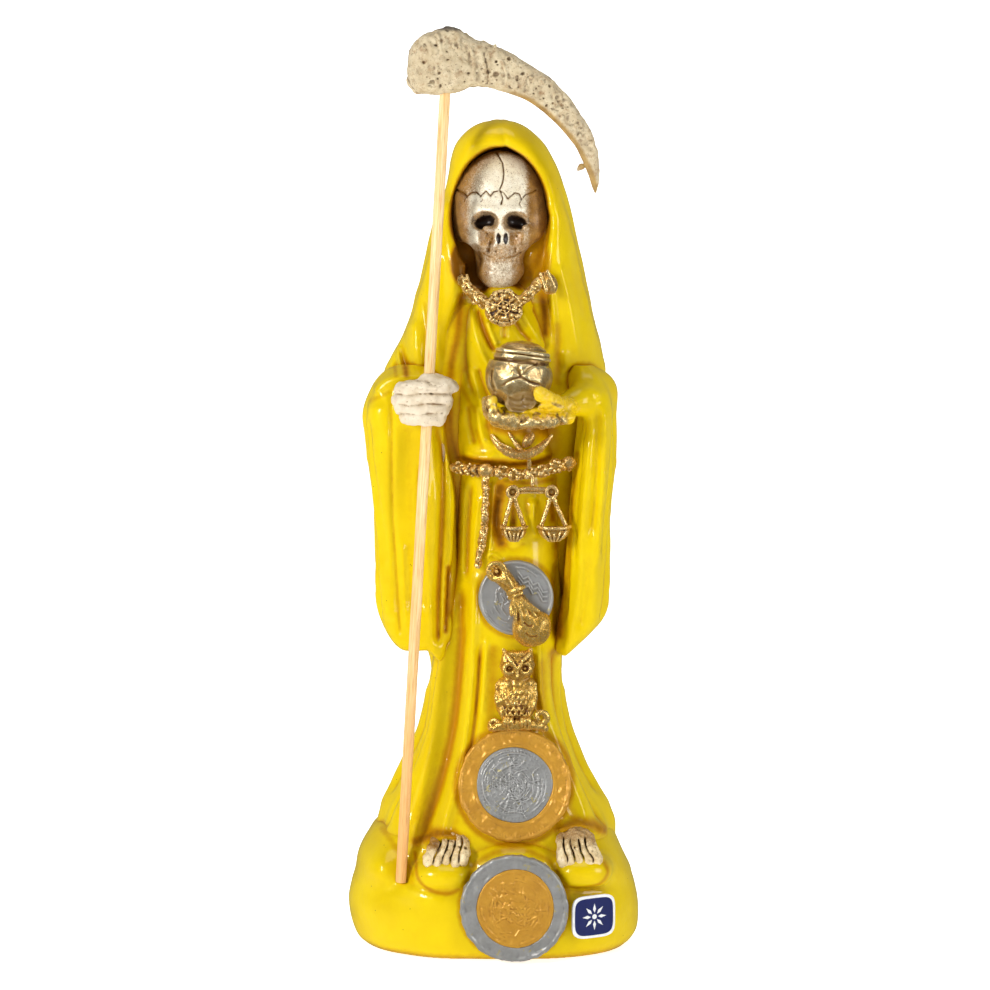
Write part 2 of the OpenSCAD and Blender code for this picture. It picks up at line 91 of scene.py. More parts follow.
def turn(rx=0, ry=0, rz=0):
    a, b, c = (math.radians(v) for v in (rx, ry, rz))
    X = V([[1, 0, 0], [0, math.cos(a), -math.sin(a)], [0, math.sin(a), math.cos(a)]])
    Y = V([[math.cos(b), 0, math.sin(b)], [0, 1, 0], [-math.sin(b), 0, math.cos(b)]])
    Z = V([[math.cos(c), -math.sin(c), 0], [math.sin(c), math.cos(c), 0], [0, 0, 1]])
    return Z @ Y @ X


def blur(A, r, h):
    """Mean of A over a cube of half side r mm."""
    n = max(1, int(round(r / h)))
    for ax in range(3):
        B = np.pad(A, [(n + 1, n) if i == ax else (0, 0) for i in range(3)], mode="edge")
        c = np.cumsum(B, axis=ax, dtype=np.float32)
        hi = [slice(None)] * 3
        lo = [slice(None)] * 3
        hi[ax] = slice(2 * n + 1, None)
        lo[ax] = slice(0, -(2 * n + 1))
        A = (c[tuple(hi)] - c[tuple(lo)]) / (2 * n + 1)
    return A


def dist2(u, v, pts):
    """Distance in a plane from each (u, v) to the line through pts, and the place along it from 0 to 1."""
    best = np.full(np.broadcast(u, v).shape, 1e6, F4)
    tt = np.zeros_like(best)
    P = V(pts, float)
    L = np.concatenate([[0], np.cumsum(np.hypot(*(P[1:] - P[:-1]).T))])
    for i in range(len(P) - 1):
        a, b = P[i], P[i + 1]
        ab = b - a
        q = float(ab @ ab) + 1e-9
        t = np.clip(((u - a[0]) * ab[0] + (v - a[1]) * ab[1]) / q, 0, 1)
        d = (u - a[0] - t * ab[0]) ** 2 + (v - a[1] - t * ab[1]) ** 2
        m = d < best
        best = np.where(m, d, best)
        tt = np.where(m, (L[i] + t * (L[i + 1] - L[i])) / L[-1], tt)
    return np.sqrt(best), tt


def relief(u, v, items):
    """Height map on the plane (u, v): each item is (points, width, height, taper)."""
    H = np.zeros((u.size, v.size), F4)
    for it in items:
        pts, w, hgt = it[:3]
        tap = it[3] if len(it) > 3 else 0.15
        P = V(pts, float) if len(it) > 4 and it[4] else curve(pts, 6)
        m = 3 * w
        iu = np.where((u.ravel() > P[:, 0].min() - m) & (u.ravel() < P[:, 0].max() + m))[0]
        iv = np.where((v.ravel() > P[:, 1].min() - m) & (v.ravel() < P[:, 1].max() + m))[0]
        if not len(iu) or not len(iv):
            continue
        a, b, c, d = iu[0], iu[-1] + 1, iv[0], iv[-1] + 1
        dd, tt = dist2(u.reshape(-1, 1)[a:b], v.reshape(1, -1)[:, c:d], P)
        f = hgt * np.exp(-(dd / w) ** 2)
        if tap > 0:
            f = f * step(0, tap, tt) * step(0, tap, 1 - tt)
        H[a:b, c:d] += f.astype(F4)
    return H


class Clay:
    def __init__(s, lo, hi, h, fill=9.0):
        s.h, s.lo = h, V(lo, float)
        n = [int(math.ceil((b - a) / h)) + 1 for a, b in zip(lo, hi)]
        s.x = (lo[0] + h * np.arange(n[0])).astype(F4)[:, None, None]
        s.y = (lo[1] + h * np.arange(n[1])).astype(F4)[None, :, None]
        s.z = (lo[2] + h * np.arange(n[2])).astype(F4)[None, None, :]
        s.F = np.full(n, fill, F4)

    def win(s, lo, hi, m):
        w = []
        for k in range(3):
            a = max(0, int(math.floor((lo[k] - m - s.lo[k]) / s.h)))
            b = min(s.F.shape[k], int(math.ceil((hi[k] + m - s.lo[k]) / s.h)) + 1)
            if b - a < 2:
                return None
            w.append(slice(a, b))
        return tuple(w)

    def do(s, fn, lo, hi, k, cut):
        w = s.win(lo, hi, k + 3 * s.h)
        if w is None:
            return s
        d = fn(s.x[w[0]], s.y[:, w[1]], s.z[:, :, w[2]]).astype(F4)
        s.F[w] = smax(s.F[w], -d, k) if cut else smin(s.F[w], d, k)
        return s

    def ell(s, c, r, k=0.4, R=None, cut=False):
        c, r = V(c, float), V(r, float)

        def fn(X, Y, Z):
            X, Y, Z = X - c[0], Y - c[1], Z - c[2]
            if R is not None:
                X, Y, Z = (R[0, j] * X + R[1, j] * Y + R[2, j] * Z for j in range(3))
            k0 = np.sqrt((X / r[0]) ** 2 + (Y / r[1]) ** 2 + (Z / r[2]) ** 2) + 1e-6
            k1 = np.sqrt((X / r[0] ** 2) ** 2 + (Y / r[1] ** 2) ** 2 + (Z / r[2] ** 2) ** 2) + 1e-6
            return k0 * (k0 - 1) / k1
        m = r if R is None else np.full(3, r.max())
        return s.do(fn, c - m, c + m, k, cut)

    def cap(s, a, b, ra, rb=None, k=0.4, cut=False):
        a, b = V(a, float), V(b, float)
        rb = ra if rb is None else rb
        ab = b - a
        q = float(ab @ ab) + 1e-9
        m = max(ra, rb)

        def fn(X, Y, Z):
            t = np.clip(((X - a[0]) * ab[0] + (Y - a[1]) * ab[1] + (Z - a[2]) * ab[2]) / q, 0, 1)
            return np.sqrt((X - a[0] - t * ab[0]) ** 2 + (Y - a[1] - t * ab[1]) ** 2 + (Z - a[2] - t * ab[2]) ** 2) - (ra + (rb - ra) * t)
        return s.do(fn, np.minimum(a, b) - m, np.maximum(a, b) + m, k, cut)

    def tube(s, pts, r, k=0.4, cut=False, n=5):
        P = curve(pts, n)
        rr = np.interp(np.linspace(0, 1, len(P)), np.linspace(0, 1, len(r)), r) if hasattr(r, "__len__") else [r] * len(P)
        for i in range(len(P) - 1):
            s.cap(P[i], P[i + 1], rr[i], rr[i + 1], k, cut)
        return s

    def box(s, c, half, rnd=0.2, k=0.4, R=None, cut=False):
        c, hf = V(c, float), V(half, float) - rnd

        def fn(X, Y, Z):
            X, Y, Z = X - c[0], Y - c[1], Z - c[2]
            if R is not None:
                X, Y, Z = (R[0, j] * X + R[1, j] * Y + R[2, j] * Z for j in range(3))
            qx, qy, qz = np.abs(X) - hf[0], np.abs(Y) - hf[1], np.abs(Z) - hf[2]
            return np.sqrt(np.maximum(qx, 0) ** 2 + np.maximum(qy, 0) ** 2 + np.maximum(qz, 0) ** 2) + np.minimum(np.maximum(np.maximum(qx, qy), qz), 0) - rnd
        m = V(half) if R is None else np.full(3, np.linalg.norm(half))
        return s.do(fn, c - m, c + m, k, cut)

    def engrave(s, pts, w, depth, ymax=0.0, taper=0.1, sharp=False):
        """A groove (or, with a negative depth, a ridge) drawn on the front."""
        H = relief(s.x, s.z, [(pts, w, depth, taper, sharp)])
        i = np.where(np.abs(H).max(1) > 1e-3)[0]
        j = np.where(np.abs(H).max(0) > 1e-3)[0]
        if not len(i):
            return s
        m = step(ymax + 0.6, ymax - 0.6, s.y)
        s.F[i[0]:i[-1] + 1, :, j[0]:j[-1] + 1] += H[i[0]:i[-1] + 1, None, j[0]:j[-1] + 1] * m
        return s

    def noise(s, scale, amp, seed):
        n = s.F.shape
        rng = np.random.RandomState(seed)
        W = []
        for k in range(3):
            t = np.arange(n[k]) * s.h / scale
            m = int(t[-1]) + 4
            M = np.zeros((n[k], m), F4)
            i = t.astype(int)
            f = t - i
            for o, wv in enumerate(((1 - f) ** 3 / 6, (3 * f**3 - 6 * f**2 + 4) / 6, (-3 * f**3 + 3 * f**2 + 3 * f + 1) / 6, f**3 / 6)):
                M[np.arange(n[k]), i + o] = wv
            W.append(M)
        A = rng.uniform(-1, 1, (W[0].shape[1], W[1].shape[1], W[2].shape[1])).astype(F4)
        A = np.tensordot(W[0], A, (1, 0))
        A = np.tensordot(A, W[1], (1, 1))
        A = np.tensordot(A, W[2], (1, 1))
        return A * (amp * 1.9)

    def cavity(s, r=0.5, F=None):
        A = np.clip(s.F if F is None else F, -2.5 * r, 2.5 * r)
        return -blur(A, r, s.h) / r

    def sample(s, A, p):
        q = np.clip(p, 0, V(A.shape) - 1.001)
        i = q.astype(int)
        f = (q - i).astype(F4)
        o = np.zeros(len(p), F4)
        for a in (0, 1):
            for b in (0, 1):
                for c in (0, 1):
                    w = (f[:, 0] if a else 1 - f[:, 0]) * (f[:, 1] if b else 1 - f[:, 1]) * (f[:, 2] if c else 1 - f[:, 2])
                    o += w * A[i[:, 0] + a, i[:, 1] + b, i[:, 2] + c]
        return o

    def cast(s, name, mats, body="figure", replaces=(), slot=None, attrs=None, place=None, rad=0.5):
        """Turn the clay into a mesh piece in metres."""
        F = s.F
        for ax in range(3):
            e = [slice(None)] * 3
            for side in (0, -1):
                e[ax] = side
                F[tuple(e)] = np.maximum(F[tuple(e)], s.h)
        g = vdb.FloatGrid()
        g.background = 2.0
        g.copyFromArray(np.clip(F, -2, 2))
        p, q = g.convertToQuads(isovalue=0.0)
        q = q.astype(np.int64)
        # drop crumbs: keep the largest connected shell and any shell over 3% of it
        p, q = keep_big(p, q)
        mm = p * s.h + s.lo
        # cav: concavity of the surface; the materials paint shade in hollows and highlights on edges from it
        data = {"cav": s.sample(s.cavity(rad), p)}
        for key, A in (attrs or {}).items():
            data[key] = A(mm, p) if callable(A) else s.sample(A, p)
        if place is not None:
            mm = place(mm)
        return solid(name, mm, q, data, mats, body, replaces)


def keep_big(p, q):
    n = len(p)
    lab = np.arange(n)
    e = np.concatenate([q[:, [0, 1]], q[:, [1, 2]], q[:, [2, 3]]])
    for _ in range(400):
        m = np.minimum(lab[e[:, 0]], lab[e[:, 1]])
        new = lab.copy()
        np.minimum.at(new, e[:, 0], m)
        np.minimum.at(new, e[:, 1], m)
        new = new[new]
        new = new[new]
        if np.array_equal(new, lab):
            break
        lab = new
    ids, cnt = np.unique(lab, return_counts=True)
    if len(ids) == 1:
        return p, q
    ok = ids[cnt >= 0.03 * cnt.max()]
    keep = np.isin(lab, ok)
    idx = np.cumsum(keep) - 1
    qk = keep[q].all(1)
    return p[keep], idx[q[qk]]


def solid(name, mm, q, data, mats, body, replaces, smooth=True):
    me = bpy.data.meshes.new(name)
    nv, nq, k = len(mm), len(q), q.shape[1]
    me.vertices.add(nv)
    me.vertices.foreach_set("co", (mm * 0.001).astype(F4).ravel())
    me.loops.add(nq * k)
    me.loops.foreach_set("vertex_index", q.astype(np.int32).ravel())
    me.polygons.add(nq)
    me.polygons.foreach_set("loop_start", np.arange(0, nq * k, k, dtype=np.int32))
    me.update(calc_edges=True)
    me.polygons.foreach_set("use_smooth", np.full(nq, smooth))
    for key, arr in data.items():
        a = me.attributes.new(key, "FLOAT", "POINT")
        a.data.foreach_set("value", arr.astype(F4))
    o = bpy.data.objects.new(name, me)
    bpy.context.scene.collection.objects.link(o)
    for m in (mats if isinstance(mats, (list, tuple)) else [mats]):
        me.materials.append(m)
    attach(o, body)
    if replaces:
        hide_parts(*replaces)
    return o


# ---------------------------------------------------------------- materials


class Mat:
    def __init__(s, name):
        s.m = bpy.data.materials.new(name)
        s.m.use_nodes = True
        s.nt = s.m.node_tree
        s.nt.nodes.clear()
        s.out = s.nt.nodes.new("ShaderNodeOutputMaterial")
        s.b = s.nt.nodes.new("ShaderNodeBsdfPrincipled")
        s.nt.links.new(s.b.outputs[0], s.out.inputs[0])
        tc = s.nt.nodes.new("ShaderNodeTexCoord")
        mp = s.nt.nodes.new("ShaderNodeMapping")
        mp.inputs["Scale"].default_value = (1000, 1000, 1000)
        s.nt.links.new(tc.outputs["Object"], mp.inputs[0])
        s.tc, s.co = tc, mp.outputs[0]

    def n(s, kind, **kw):
        nd = s.nt.nodes.new(kind)
        for a, b in kw.items():
            setattr(nd, a, b)
        return nd

    def link(s, a, b):
        s.nt.links.new(a, b)

    def attr(s, name):
        nd = s.n("ShaderNodeAttribute", attribute_name=name)
        return nd.outputs["Fac"]

    def noise(s, size, detail=3.0, rough=0.55, dist=0.0, co=None, stretch=None):
        """Noise with features of about size mm."""
        nd = s.n("ShaderNodeTexNoise")
        nd.inputs["Scale"].default_value = 1.0 / size
        nd.inputs["Detail"].default_value = detail
        nd.inputs["Roughness"].default_value = rough
        nd.inputs["Distortion"].default_value = dist
        c = s.co if co is None else co
        if stretch:
            mp = s.n("ShaderNodeMapping")
            mp.inputs["Scale"].default_value = stretch
            s.link(c, mp.inputs[0])
            c = mp.outputs[0]
        s.link(c, nd.inputs["Vector"])
        return nd.outputs["Fac"]

    def voro(s, size, feature="F1", rnd=1.0):
        nd = s.n("ShaderNodeTexVoronoi", feature=feature)
        nd.inputs["Scale"].default_value = 1.0 / size
        nd.inputs["Randomness"].default_value = rnd
        s.link(s.co, nd.inputs["Vector"])
        return nd

    def ramp(s, fac, stops, interp="LINEAR"):
        nd = s.n("ShaderNodeValToRGB")
        nd.color_ramp.interpolation = interp
        el = nd.color_ramp.elements
        while len(el) > 1:
            el.remove(el[-1])
        for i, (p, c) in enumerate(stops):
            e = el[0] if i == 0 else el.new(p)
            e.position = p
            e.color = (c, c, c, 1) if isinstance(c, (int, float)) else (*c, 1)
        s.link(fac, nd.inputs[0])
        return nd.outputs[0]

    def math(s, op, a, b=None, c=None, clamp=False):
        nd = s.n("ShaderNodeMath", operation=op, use_clamp=clamp)
        for i, v in enumerate((a, b, c)):
            if v is None:
                continue
            if isinstance(v, (int, float)):
                nd.inputs[i].default_value = v
            else:
                s.link(v, nd.inputs[i])
        return nd.outputs[0]

    def mix(s, fac, a, b, blend="MIX"):
        nd = s.n("ShaderNodeMix", data_type="RGBA", blend_type=blend)
        for i, v in ((0, fac), (6, a), (7, b)):
            if isinstance(v, (int, float)):
                nd.inputs[i].default_value = v
            elif isinstance(v, tuple):
                nd.inputs[i].default_value = (*v, 1)
            else:
                s.link(v, nd.inputs[i])
        return nd.outputs[2]

    def lerp(s, fac, a, b):
        nd = s.n("ShaderNodeMapRange")
        s.link(fac, nd.inputs[0])
        nd.inputs[3].default_value = a
        nd.inputs[4].default_value = b
        return nd.outputs[0]

    def set(s, **kw):
        for k, v in kw.items():
            i = s.b.inputs[k.replace("_", " ")]
            if isinstance(v, (int, float)):
                i.default_value = v
            elif isinstance(v, tuple):
                i.default_value = (*v, 1) if len(v) == 3 and i.type == "RGBA" else v
            else:
                s.link(v, i)
        return s

    def bump(s, h, strength=0.3, dist=0.1, prev=None):
        nd = s.n("ShaderNodeBump")
        nd.inputs["Strength"].default_value = strength
        nd.inputs["Distance"].default_value = dist * 0.001
        s.link(h, nd.inputs["Height"])
        if prev is not None:
            s.link(prev, nd.inputs["Normal"])
        return nd.outputs[0]


def lin(r, g, b):
    return tuple(((c / 255) / 12.92 if c / 255 <= 0.04045 else ((c / 255 + 0.055) / 1.055) ** 2.4) for c in (r, g, b))


def enamel():
    m = Mat("yellow_enamel")
    cav = m.attr("cav")
    wide = m.attr("wide")
    blotch = m.noise(9, 4, 0.6)
    fine = m.noise(1.3, 3, 0.6)
    base = m.mix(m.ramp(blotch, [(0.3, 0), (0.75, 1)]), lin(224, 196, 2), lin(214, 182, 1))
    # painted shade: amber, then brown, in folds and recesses from the cav and wide concavity fields, partly paint
    # pooling in the folds
    f = m.math("MULTIPLY_ADD", cav, 1.5, m.math("MULTIPLY", wide, 1.1))
    f = m.math("ADD", f, m.math("MULTIPLY_ADD", fine, 0.30, -0.15))
    base = m.mix(m.ramp(f, [(0.10, 0), (0.5, 0.6), (0.9, 1.0)]), base, lin(184, 122, 0))
    base = m.mix(m.ramp(m.math("MULTIPLY", f, 0.5), [(0.42, 0), (0.8, 1.0)]), base, lin(112, 66, 2))
    # painted highlight: paler yellow on convex edges and ridges
    base = m.mix(m.ramp(m.math("MULTIPLY", cav, -1.0), [(0.22, 0), (0.7, 0.5)]), base, lin(250, 226, 60))
    # specks of dirt
    v = m.voro(2.6)
    sp = m.math("LESS_THAN", v.outputs["Distance"], 0.055)
    pick = m.math("GREATER_THAN", m.noise(7, 1, 0.5), 0.53)
    base = m.mix(m.math("MULTIPLY", m.math("MULTIPLY", sp, pick), 0.8), base, lin(92, 64, 6))
    # painted shade, in part a brown wash: this attribute darkens folds, recesses and the inside of the hood to amber
    # and brown
    shade_and_wash = m.math("ADD", m.attr("robe_shade_and_wash"), m.math("MULTIPLY_ADD", m.noise(1.6, 3, 0.65), 0.36, -0.18))
    base = m.mix(m.ramp(shade_and_wash, [(0.12, 0), (0.6, 0.8), (0.9, 1)]), base, lin(176, 114, 0))
    base = m.mix(m.ramp(shade_and_wash, [(0.62, 0), (0.98, 0.85)]), base, lin(98, 56, 4))
    rough = m.math("MULTIPLY_ADD", m.noise(2.2, 3, 0.6), 0.16, 0.28)
    h = m.math("ADD", m.math("MULTIPLY", m.noise(2.0, 3, 0.6), 1.0), m.math("MULTIPLY", m.noise(0.55, 2, 0.5), 0.28))
    h = m.math("ADD", h, m.math("MULTIPLY", m.noise(0.9, 2, 0.5, stretch=(1.6, 1.6, 0.25)), 0.35))
    m.set(Base_Color=base, Roughness=rough, Normal=m.bump(h, 0.32, 0.22))
    m.set(Coat_Weight=m.ramp(shade_and_wash, [(0.3, 0.46), (0.8, 0.06)]), Coat_Roughness=0.045, IOR=1.5, Specular_IOR_Level=0.26, Specular_Tint=(1.0, 0.84, 0.34))
    return m.m


def gilt(name="antique_gold", hi=(255, 224, 156), mid=(196, 146, 60), lo=(58, 28, 6), patch=None, rough0=0.16):
    m = Mat(name)
    cav = m.attr("cav")
    n1 = m.noise(0.8, 3, 0.65)
    n2 = m.noise(3.0, 2, 0.5)
    # painted shade and painted highlight: the cav concavity field makes hollows dark brown and peaks pale, whitish gold
    f = m.math("ADD", m.math("MULTIPLY", cav, 2.4), m.math("MULTIPLY_ADD", n1, 0.7, -0.42))
    f = m.math("ADD", f, m.math("MULTIPLY_ADD", n2, 0.4, -0.22))
    f = m.math("MULTIPLY_ADD", f, 0.5, 0.5)
    base = m.ramp(f, [(0.22, lin(*hi)), (0.50, lin(*mid)), (0.72, lin(*lo))])
    # paint attribute: real yellow overpaint on the hand, and on the globe a painted shadow
    if patch:
        base = m.mix(m.attr("paint"), base, patch)
    metal = m.ramp(f, [(0.45, 0.78), (0.78, 0.2)])
    if patch:
        metal = m.math("MULTIPLY", metal, m.math("SUBTRACT", 1.0, m.attr("paint")))
    rough = m.math("MULTIPLY_ADD", n1, 0.22, rough0)
    h = m.math("ADD", m.noise(0.55, 3, 0.6), m.math("MULTIPLY", m.noise(0.22, 2, 0.6), 0.4))
    m.set(Base_Color=base, Metallic=metal, Roughness=rough, Normal=m.bump(h, 0.8, 0.16))
    m.set(Coat_Weight=0.25, Coat_Roughness=0.12)
    return m.m


def coin_paint(name, a, b, dark, metallic, tint=None):
    m = Mat(name)
    cav = m.attr("cav")
    n1 = m.noise(1.1, 3, 0.6)
    n2 = m.noise(4.0, 3, 0.6)
    base = m.mix(m.ramp(n2, [(0.3, 0), (0.7, 1)]), lin(*a), lin(*b))
    # painted shade in hollows and painted highlight on raised edges, from the cav concavity field
    f = m.math("ADD", m.math("MULTIPLY", cav, 1.6), m.math("MULTIPLY_ADD", n1, 0.5, -0.25))
    base = m.mix(m.ramp(f, [(0.08, 0), (0.6, 0.75)]), base, lin(*dark))
    base = m.mix(m.ramp(m.math("MULTIPLY", cav, -1.0), [(0.15, 0), (0.6, 0.6)]), base, tuple(min(1, 1.6 * c + 0.06) for c in lin(*a)))
    if tint:
        t = m.math("GREATER_THAN", m.noise(2.4, 3, 0.7), 0.64)
        base = m.mix(m.math("MULTIPLY", t, 0.45), base, lin(*tint))
    rough = m.math("MULTIPLY_ADD", n1, 0.2, 0.30)
    h = m.math("ADD", m.noise(0.7, 3, 0.6), m.math("MULTIPLY", m.noise(0.25, 2, 0.6), 0.5))
    m.set(Base_Color=base, Metallic=metallic, Roughness=rough, Normal=m.bump(h, 0.45, 0.10))
    m.set(Coat_Weight=0.15, Coat_Roughness=0.2)
    return m.m


def bone(name, light, mid, dark, rough=0.42, speck=True, wash_and_shade=False, bump=0.3, sheen=0.0, metal=0.0, under=False):
    m = Mat(name)
    cav = m.attr("cav")
    n1 = m.noise(0.7, 3, 0.65)
    n2 = m.noise(2.6, 3, 0.6)
    base = m.mix(m.ramp(n2, [(0.35, 0), (0.7, 1)]), lin(*light), lin(*mid))
    # painted shade: darker in hollows, from the cav concavity field
    f = m.math("ADD", m.math("MULTIPLY", cav, 1.5), m.math("MULTIPLY_ADD", n1, 0.55, -0.30))
    base = m.mix(m.ramp(f, [(0.05, 0), (0.35, 0.6), (0.75, 1)]), base, lin(*dark))
    if wash_and_shade:
        # brown wash, and painted shade where the skull turns away at the sides and back
        w = m.math("ADD", m.attr("wash_and_shade"), m.math("MULTIPLY_ADD", n1, 0.8, -0.40))
        w = m.math("ADD", w, m.math("MULTIPLY_ADD", m.noise(0.28, 2, 0.7), 1.5, -0.75))
        brown = m.mix(m.ramp(n2, [(0.3, 0), (0.7, 1)]), lin(174, 124, 34), lin(118, 76, 18))
        base = m.mix(m.ramp(w, [(0.2, 0), (0.55, 0.55), (1.0, 0.95)]), base, brown)
        v2 = m.voro(0.5)
        sp2 = m.math("MULTIPLY", m.ramp(v2.outputs["Distance"], [(0.10, 1), (0.24, 0)]), m.ramp(w, [(0.05, 0.1), (0.5, 0.95)]))
        base = m.mix(sp2, base, lin(64, 36, 12))
        # painted shade, near black, deep in the eye sockets and nose holes
        pt = m.math("ADD", m.attr("socket_shade"), m.math("MULTIPLY_ADD", m.noise(0.4, 2, 0.7), 0.9, -0.45))
        base = m.mix(m.ramp(pt, [(0.3, 0), (0.75, 1)]), base, lin(30, 15, 7))
    if speck:
        v = m.voro(0.75)
        sp = m.ramp(v.outputs["Distance"], [(0.10, 1), (0.22, 0)])
        pick = m.ramp(m.noise(1.9, 2, 0.6), [(0.44, 0), (0.58, 1)])
        base = m.mix(m.math("MULTIPLY", m.math("MULTIPLY", sp, pick), 0.8), base, lin(*dark))
    if under:
        base = m.mix(m.ramp(m.noise(1.5, 4, 0.72), [(0.52, 0), (0.66, 0.6)]), base, lin(146, 110, 68))
        base = m.mix(m.ramp(m.noise(0.6, 3, 0.7), [(0.60, 0), (0.70, 0.7)]), base, lin(88, 58, 32))
        # painted shade: darker tan on the underside of the inner edge's bevel
        base = m.mix(m.math("MULTIPLY", m.attr("under"), 0.9), base, m.mix(m.ramp(n2, [(0.35, 0), (0.65, 1)]), lin(172, 136, 64), lin(142, 106, 42)))
        base = m.mix(m.math("MULTIPLY", m.attr("patch"), 0.85), base, lin(70, 60, 52))
    h = m.math("ADD", m.noise(0.6, 3, 0.6), m.math("MULTIPLY", m.noise(0.25, 2, 0.6), 0.5))
    m.set(Metallic=metal)
    m.set(Base_Color=base, Roughness=m.math("MULTIPLY_ADD", n1, 0.25, rough - 0.12), Normal=m.bump(h, bump, 0.16))
    m.set(Coat_Weight=sheen, Coat_Roughness=0.18)
    return m.m


def bamboo():
    m = Mat("bamboo")
    uv = m.n("ShaderNodeUVMap", uv_map="grain")
    a = m.noise(1.0, 3, 0.6, co=uv.outputs[0], stretch=(26, 1.6, 1))
    b = m.noise(1.0, 2, 0.5, co=uv.outputs[0], stretch=(60, 3.0, 1))
    c = m.noise(1.0, 2, 0.5, co=uv.outputs[0], stretch=(4, 0.9, 1))
    base = m.ramp(a, [(0.28, lin(176, 118, 60)), (0.42, lin(236, 194, 128)), (0.62, lin(248, 222, 172)), (0.8, lin(252, 236, 204))])
    # painted shade and reflected yellow light: the pole is more orange towards the bottom, beside the robe
    pole_lower_shade = m.attr("pole_lower_shade")
    base = m.mix(m.math("MULTIPLY", pole_lower_shade, 0.75), base, lin(232, 164, 84))
    base = m.mix(m.ramp(b, [(0.60, 0), (0.74, 0.75)]), base, lin(150, 92, 44))
    base = m.mix(m.ramp(c, [(0.35, 0.35), (0.6, 0)]), base, lin(214, 166, 100))
    m.set(Base_Color=base, Roughness=m.math("MULTIPLY_ADD", a, 0.2, 0.45), Normal=m.bump(m.math("ADD", a, m.math("MULTIPLY", b, 0.6)), 0.5, 0.10))
    m.set(Specular_IOR_Level=0.4)
    return m.m


def plain(name, rgb, rough, nscale=1.2, amt=0.06, coat=0.0):
    m = Mat(name)
    n1 = m.noise(nscale, 3, 0.6)
    base = m.mix(m.ramp(n1, [(0.3, 0), (0.7, 1)]), lin(*rgb), tuple(max(0, c * (1 - amt * 3)) for c in lin(*rgb)))
    m.set(Base_Color=base, Roughness=m.math("MULTIPLY_ADD", n1, 0.12, rough), Normal=m.bump(m.noise(0.5, 2, 0.5), 0.15, 0.04))
    m.set(Coat_Weight=coat, Coat_Roughness=0.08)
    return m.m


M_ENAMEL = enamel()
M_GILT = gilt()
M_HAND = gilt("gilt_hand", hi=(244, 216, 150), mid=(196, 156, 84), patch=lin(226, 188, 8))
# the patch colour here is a painted shadow on the globe's lower front
M_GLOBE = gilt("gilt_globe", hi=(244, 224, 172), mid=(176, 140, 78), lo=(84, 52, 16), rough0=0.08, patch=lin(122, 94, 50))
M_OWL = gilt("gilt_charm", hi=(240, 200, 112), mid=(206, 158, 64), lo=(112, 68, 16))
M_COINGOLD = coin_paint("coin_gold", (214, 159, 52), (198, 142, 44), (132, 84, 22), 0.35)
M_SILVER = coin_paint("coin_silver", (168, 168, 167), (149, 149, 146), (84, 82, 76), 0.45, tint=(196, 176, 60))
M_SKULL = bone("skull_bone", (246, 240, 220), (230, 219, 192), (104, 70, 30), 0.34, wash_and_shade=True, bump=0.4, sheen=0.15, metal=0.1)
M_PASTE = bone("fist_paste", (222, 208, 184), (206, 190, 162), (136, 106, 72), 0.55, speck=True, bump=0.5)
M_FEET = bone("feet_paint", (236, 218, 176), (206, 176, 120), (70, 38, 14), 0.4, wash_and_shade=True, bump=0.5, sheen=0.2)
M_BLADE = bone("blade_paste", (204, 189, 156), (184, 165, 130), (88, 62, 38), 0.55, speck=True, bump=0.6, under=True)
M_BAMBOO = bamboo()
M_WHITE = plain("label_white", (238, 240, 242), 0.3, coat=0.3)
M_NAVY = plain("label_navy", (14, 28, 96), 0.3, coat=0.3)

# ---------------------------------------------------------------- the robe
GOWN = [[12, .2, 29, -19.4, 21.4], [22, .2, 29.9, -20.6, 22.2], [26, .2, 29.7, -20.4, 21.9], [30, .25, 29.3, -20, 21.4],
        [34, 0, 27.9, -19.3, 20.6], [38, -.2, 25.8, -18.6, 19.8], [41.7, -.3, 24, -18, 19.2], [45.5, -.3, 22.2, -17.5, 18.6],
        [49.4, 0, 20.6, -17, 18], [53.2, 0, 19.2, -16.5, 17.5], [57, 0, 18.2, -16, 17], [61, 0, 17.5, -15.6, 16.6],
        [66, .2, 17.0, -15.2, 16.2], [74, .8, 16.4, -14.6, 15.6], [84, 1.8, 15.4, -14, 15], [98, 2.7, 13.4, -13.4, 14.4],
        [110, 3.0, 13.0, -12.9, 13.8], [117, 2.9, 12.8, -12.4, 13.4], [121, 2.7, 12.5, -12.5, 13.2], [125, 2.4, 12.2, -13.7, 13],
        [138, 2.2, 11.9, -13.7, 12.6], [150, 2.2, 11.7, -13.4, 11.6], [156, 2.1, 10.8, -13, 10.2], [161, 2, 8.8, -12, 8],
        [165, 2, 6, -10, 6], [167, 2, 3, -8, 3]]
